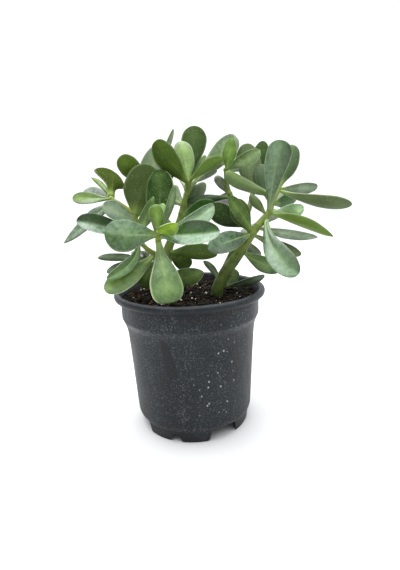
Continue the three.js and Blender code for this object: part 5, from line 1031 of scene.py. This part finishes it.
def soil_height(x, y):
    r = math.hypot(x, y)
    p = (x, y, 0.0)
    h = 1.1 * wave(p, 0.055, 2.0) + 0.8 * wave(p, 0.16, 5.0) + 0.45 * wave(p, 0.42, 9.0)
    h += 0.7 * smooth01((r - 54) / 12) * wave(p, 0.08, 12.0)
    for sx, sy in TRUNKS:
        h += 1.3 * math.exp(-(((x - sx) ** 2 + (y - sy) ** 2) / 110.0))
    return SOIL - 0.4 + h


TRUNKS = []
for part in ("trunk_left", "trunk_right"):
    pts = STEMS[part][0]
    low = min(range(len(pts)), key=lambda i: abs(pts[i][2] - SOIL))
    TRUNKS.append((pts[low][0], pts[low][1]))

verts, faces, rows = [(0.0, 0.0, soil_height(0, 0))], [], [[0]]
SEG = 220
rings = [float(r) for r in np.linspace(1.2, 67.5, 60)]
for r in rings:
    rows.append(list(range(len(verts), len(verts) + SEG)))
    for j in range(SEG):
        a = 2 * math.pi * j / SEG
        x, y = r * math.cos(a), r * math.sin(a)
        verts.append((x, y, soil_height(x, y)))
for r, z in ((67.6, 129.0), (67.55, 117.5), (65.55, 110.6), (64.0, 106.4), (62.95, 101.5), (62.2, 94.5), (60.4, 60.5), (58.8, 31.5), (57.8, 19.6), (56.0, 15.6), (17.6, 15.5), (15.0, 14.0), (13.9, 2.0)):
    rows.append(list(range(len(verts), len(verts) + SEG)))
    verts += [(r * math.cos(2 * math.pi * j / SEG), r * math.sin(2 * math.pi * j / SEG), z) for j in range(SEG)]
rows.append([len(verts)])
verts.append((0.0, 0.0, 2.0))
for a, b in zip(rows, rows[1:]):
    for j in range(SEG):
        k = (j + 1) % SEG
        if len(a) == 1:
            faces.append((a[0], b[j], b[k]))
        elif len(b) == 1:
            faces.append((a[k], a[j], b[0]))
        else:
            faces.append((a[j], b[j], b[k], a[k]))
soil = mesh_object("potting_mix", verts, faces)
outward(soil)


def soil_material():
    n = Nodes("potting_mix")
    co = n.coords()
    big = n.noise(co, 60.0, 4.0, 0.6)
    grit = n.noise(co, 420.0, 5.0, 0.7)
    cell = n.voronoi(co, 340.0, out="Color")
    body = n.mix(n.ramp(big, 0.35, 0.65), (0.0022, 0.0020, 0.0013), (0.0065, 0.0055, 0.0034))
    body = n.mix(n.ramp(grit, 0.45, 0.75), body, (0.017, 0.0135, 0.0085))
    body = n.mix(0.20, body, n.mix(0.90, cell, (0.014, 0.011, 0.007)))
    body = n.mix(n.ramp(n.noise(co, 900.0, 2.0, 0.5), 0.66, 0.74), body, (0.26, 0.24, 0.20))
    height = n.math("ADD", grit, n.math("MULTIPLY", n.noise(co, 1200.0, 3.0, 0.6), 0.4))
    n.set(Base_Color=body, Roughness=n.ramp(grit, 0.3, 0.7, 0.80, 0.98), Normal=n.bump(height, 0.9, 0.0012), Specular_IOR_Level=0.05)
    return n.mat


soil.data.materials.append(soil_material())
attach(soil, "root")
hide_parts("soil")


def icosphere(subdivisions):
    bm = bmesh.new()
    bmesh.ops.create_icosphere(bm, subdivisions=subdivisions, radius=1.0)
    v = np.array([p.co[:] for p in bm.verts])
    f = [tuple(q.index for q in face.verts) for face in bm.faces]
    bm.free()
    return v, f


ICO1, ICO2 = icosphere(1), icosphere(2)


def turned(rng):
    a, b, c = (rng.uniform(0, 2 * math.pi) for _ in range(3))
    return np.array(Matrix.Rotation(a, 3, "X") @ Matrix.Rotation(b, 3, "Y") @ Matrix.Rotation(c, 3, "Z"))


def on_soil(rng, limit=66.0):
    while True:
        a, r = rng.uniform(0, 2 * math.pi), limit * math.sqrt(rng.random())
        x, y = r * math.cos(a), r * math.sin(a)
        if all(math.hypot(x - sx, y - sy) > 6.5 for sx, sy in TRUNKS):
            return x, y, r


def grains(name, count, sizes, shape, tints, seed, sink=0.25, ico=ICO2, jag=0.22):
    """Irregular lumps scattered over the potting mix, with a colour for each."""
    rng = random.Random(seed)
    V, F, C = [], [], []
    for _ in range(count):
        x, y, r = on_soil(rng)
        size = rng.uniform(*sizes) if r < 62 else rng.uniform(sizes[0], 0.6 * sizes[1] + 0.4 * sizes[0])
        if r + size > 67:
            continue
        sx, sy, sz = size * rng.uniform(*shape[0]), size * rng.uniform(*shape[1]), size * rng.uniform(*shape[2])
        v = ico[0].copy()
        off = rng.uniform(0, 50)
        lump = np.array([1 + jag * wave(p * 1.0, 1.15, off) + 0.5 * jag * wave(p, 2.6, off + 7) for p in v])
        v = v * lump[:, None] * np.array([sx, sy, sz])
        flat = Matrix.Rotation(rng.uniform(-0.5, 0.5), 3, "X") @ Matrix.Rotation(rng.uniform(-0.5, 0.5), 3, "Y") @ Matrix.Rotation(rng.uniform(0, 6.28), 3, "Z")
        v = v @ np.array(flat).T
        top = soil_height(x, y) + sz * (1 - 2 * sink)
        v = v + np.array([x, y, top])
        out = np.hypot(v[:, 0], v[:, 1]).max()
        if out > 67.8:
            v[:, :2] -= np.array([x, y]) / max(r, 1e-6) * (out - 67.8)
        F += [tuple(i + len(V) for i in f) for f in ico[1]]
        V += list(v)
        base = np.array(rng.choice(tints))
        C += [base * rng.uniform(0.72, 1.3)] * len(v)
    ob = mesh_object(name, V, F)
    put_colour(ob, "grain_rgb", C)
    return ob


def grain_material(name, rough, detail, bump):
    n = Nodes(name)
    co = n.coords()
    tint = n.attr("grain_rgb", "Color")
    mott = n.noise(co, detail, 4.0, 0.65)
    body = n.mix(n.ramp(mott, 0.35, 0.68), n.mix(1.0, tint, (0.55, 0.52, 0.50), "MULTIPLY"), n.mix(1.0, tint, (1.35, 1.3, 1.25), "MULTIPLY"))
    n.set(Base_Color=body, Roughness=n.ramp(mott, 0.3, 0.7, rough - 0.12, rough), Normal=n.bump(mott, 0.6, bump), Specular_IOR_Level=0.08)
    return n.mat


BARK = [colour(22, 18, 12), colour(34, 26, 17), colour(15, 13, 9), colour(11, 10, 7), colour(52, 38, 25), colour(20, 18, 12)]
PALE = [colour(132, 116, 82), colour(104, 88, 58), colour(160, 146, 112), colour(78, 62, 38)]
WHITE = [colour(206, 202, 190), colour(180, 176, 164), colour(222, 220, 212)]

bark = grains("soil_bark", 900, (0.9, 3.1), ((0.8, 1.5), (0.45, 0.9), (0.25, 0.55)), BARK, 5, sink=0.30, ico=ICO2)
crumbs = grains("soil_crumbs", 1700, (0.4, 1.1), ((0.8, 1.2), (0.7, 1.1), (0.5, 0.9)), BARK, 6, sink=0.3, ico=ICO1)
pale = grains("soil_pale_grains", 430, (0.25, 0.75), ((0.8, 1.3), (0.7, 1.1), (0.5, 0.9)), PALE, 7, sink=0.2, ico=ICO1)
perlite = grains("soil_perlite", 40, (0.5, 1.25), ((0.9, 1.2), (0.8, 1.1), (0.7, 1.0)), WHITE, 8, sink=0.2, ico=ICO2, jag=0.3)


def fibres(name, count, seed):
    """Thin curved strands lying on the mix."""
    rng = random.Random(seed)
    V, F, C = [], [], []
    for _ in range(count):
        x, y, r = on_soil(rng, 62)
        a, bend, length = rng.uniform(0, 6.28), rng.uniform(-0.16, 0.16), rng.uniform(4, 13)
        rad = rng.uniform(0.14, 0.34)
        q = []
        steps = 9
        for i in range(steps):
            q.append((x, y, soil_height(x, y) + rad + 0.6 * math.sin(math.pi * i / (steps - 1)) * rng.uniform(0.4, 1.3)))
            x += length / steps * math.cos(a)
            y += length / steps * math.sin(a)
            a += bend * rng.uniform(0.3, 2)
        if max(math.hypot(p[0], p[1]) for p in q) > 66:
            continue
        v, f = tube(np.array(q), np.array([rad * (0.4 + 0.6 * math.sin(math.pi * (i + 0.6) / steps)) for i in range(steps)]), 6)
        F += [tuple(i + len(V) for i in face) for face in f]
        V += v
        kinds = [colour(112, 68, 44), colour(84, 48, 32), colour(128, 86, 58)] if x < -8 else [colour(70, 56, 38), colour(50, 40, 28), colour(108, 92, 66)]
        base = np.array(rng.choice(kinds))
        C += [base * rng.uniform(0.7, 1.2)] * len(v)
    ob = mesh_object(name, V, F)
    put_colour(ob, "grain_rgb", C)
    return ob


strands = fibres("soil_fibres", 130, 9)
BARK_MATERIAL = grain_material("bark_chips", 0.92, 700.0, 0.0005)
PALE_MATERIAL = grain_material("pale_grains", 0.85, 1200.0, 0.0002)
for ob, mat in ((bark, BARK_MATERIAL), (crumbs, BARK_MATERIAL), (strands, BARK_MATERIAL), (pale, PALE_MATERIAL), (perlite, PALE_MATERIAL)):
    ob.data.materials.append(mat)
    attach(ob, "root")

# ---------------------------------------------------------------------------
# Stage, light and camera
# ---------------------------------------------------------------------------


SKY_LOW, SKY_BACK, SKY_TOP, SKY_SIDE = 0.22, 0.86, 2.7, 0.72


def stage_material():
    n = Nodes("pale_floor")
    co = n.coords()
    body = n.mix(n.ramp(n.noise(co, 6.0, 2.0, 0.5), 0.3, 0.7), (0.52, 0.52, 0.52), (0.54, 0.54, 0.54))
    n.set(Base_Color=body, Roughness=0.9, Specular_IOR_Level=0.1)
    return n.mat


floor = mesh_object("studio_floor", [(-60000, -60000, 0), (60000, -60000, 0), (60000, 60000, 0), (-60000, 60000, 0)], [(0, 1, 2, 3)])
floor.location.z = -0.00005
floor.data.materials.append(stage_material())

# An overcast sky: brightest overhead and behind the plant, dimmer on the photographed side
world = bpy.data.worlds.new("studio")
bpy.context.scene.world = world
world.use_nodes = True
tree = world.node_tree
sky = tree.nodes["Background"]
sky.inputs[0].default_value = (0.97, 0.985, 1.0, 1.0)
axes = tree.nodes.new("ShaderNodeSeparateXYZ")
tree.links.new(tree.nodes.new("ShaderNodeTexCoord").outputs["Generated"], axes.inputs[0])
total = None
for source, lo, hi, weight in ((axes.outputs[1], -0.10, 0.70, SKY_BACK), (axes.outputs[2], 0.30, 0.85, SKY_TOP), (axes.outputs[0], 0.25, 1.0, SKY_SIDE)):
    part = tree.nodes.new("ShaderNodeMapRange")
    part.interpolation_type = "SMOOTHSTEP"
    part.inputs["From Min"].default_value = lo
    part.inputs["From Max"].default_value = hi
    part.inputs["To Max"].default_value = weight
    tree.links.new(source, part.inputs["Value"])
    add = tree.nodes.new("ShaderNodeMath")
    tree.links.new(part.outputs[0], add.inputs[0])
    if total is None:
        add.inputs[1].default_value = SKY_LOW
    else:
        tree.links.new(total, add.inputs[1])
    total = add.outputs[0]
# Seen past the floor, the backdrop is plain white from every side; the light that it gives isn't changed
sky_ray = tree.nodes.new("ShaderNodeLightPath")
sky_white = tree.nodes.new("ShaderNodeMath")
sky_white.operation = "MULTIPLY"
sky_white.inputs[1].default_value = 1.2
tree.links.new(sky_ray.outputs["Is Camera Ray"], sky_white.inputs[0])
sky_seen = tree.nodes.new("ShaderNodeMath")
sky_seen.operation = "MAXIMUM"
tree.links.new(total, sky_seen.inputs[0])
tree.links.new(sky_white.outputs[0], sky_seen.inputs[1])
tree.links.new(sky_seen.outputs[0], sky.inputs[1])


def softbox(name, at, target, size, energy, tint=(1, 1, 1)):
    light = bpy.data.lights.new(name, "AREA")
    light.shape = "RECTANGLE"
    light.size, light.size_y = size
    light.energy = energy
    light.color = tint
    ob = bpy.data.objects.new(name, light)
    ob.location = at
    ob.rotation_euler = (Vector(target) - Vector(at)).to_track_quat("-Z", "Y").to_euler()
    bpy.context.scene.collection.objects.link(ob)
    return ob


softbox("sky_panel", (-0.12, 0.2, 1.3), (0, 0, 0.2), (1.5, 1.2), 22.0, (0.97, 0.985, 1.0))

YAW, PITCH, ROLL = 0.029186, 0.230509, -0.041888
camera = bpy.data.cameras.new("camera")
FOCAL = 371.17  # pixels, in a frame 400 wide and 570 high
EYE = Vector((0.0, -0.36913, 0.22837))
eye = bpy.data.objects.new("camera", camera)
bpy.context.scene.collection.objects.link(eye)
bpy.context.scene.camera = eye
forward = Vector((math.sin(YAW) * math.cos(PITCH), math.cos(YAW) * math.cos(PITCH), -math.sin(PITCH)))
right = Vector((math.cos(YAW), -math.sin(YAW), 0.0))
above = right.cross(forward)
r2 = math.cos(ROLL) * right + math.sin(ROLL) * above
u2 = -math.sin(ROLL) * right + math.cos(ROLL) * above
turn = Matrix((r2, u2, -forward)).transposed().to_4x4()
eye.matrix_world = Matrix.Translation(EYE) @ turn
camera.sensor_fit = "VERTICAL"
camera.sensor_height = 36.0
camera.lens = FOCAL / 570.0 * 36.0
camera.clip_start = 0.01
camera.clip_end = 200.0
camera.dof.use_dof = False

scene = bpy.context.scene
scene.view_settings.view_transform = "Standard"
scene.view_settings.look = "None"
scene.view_settings.exposure = 0.0
scene.view_settings.gamma = 1.0
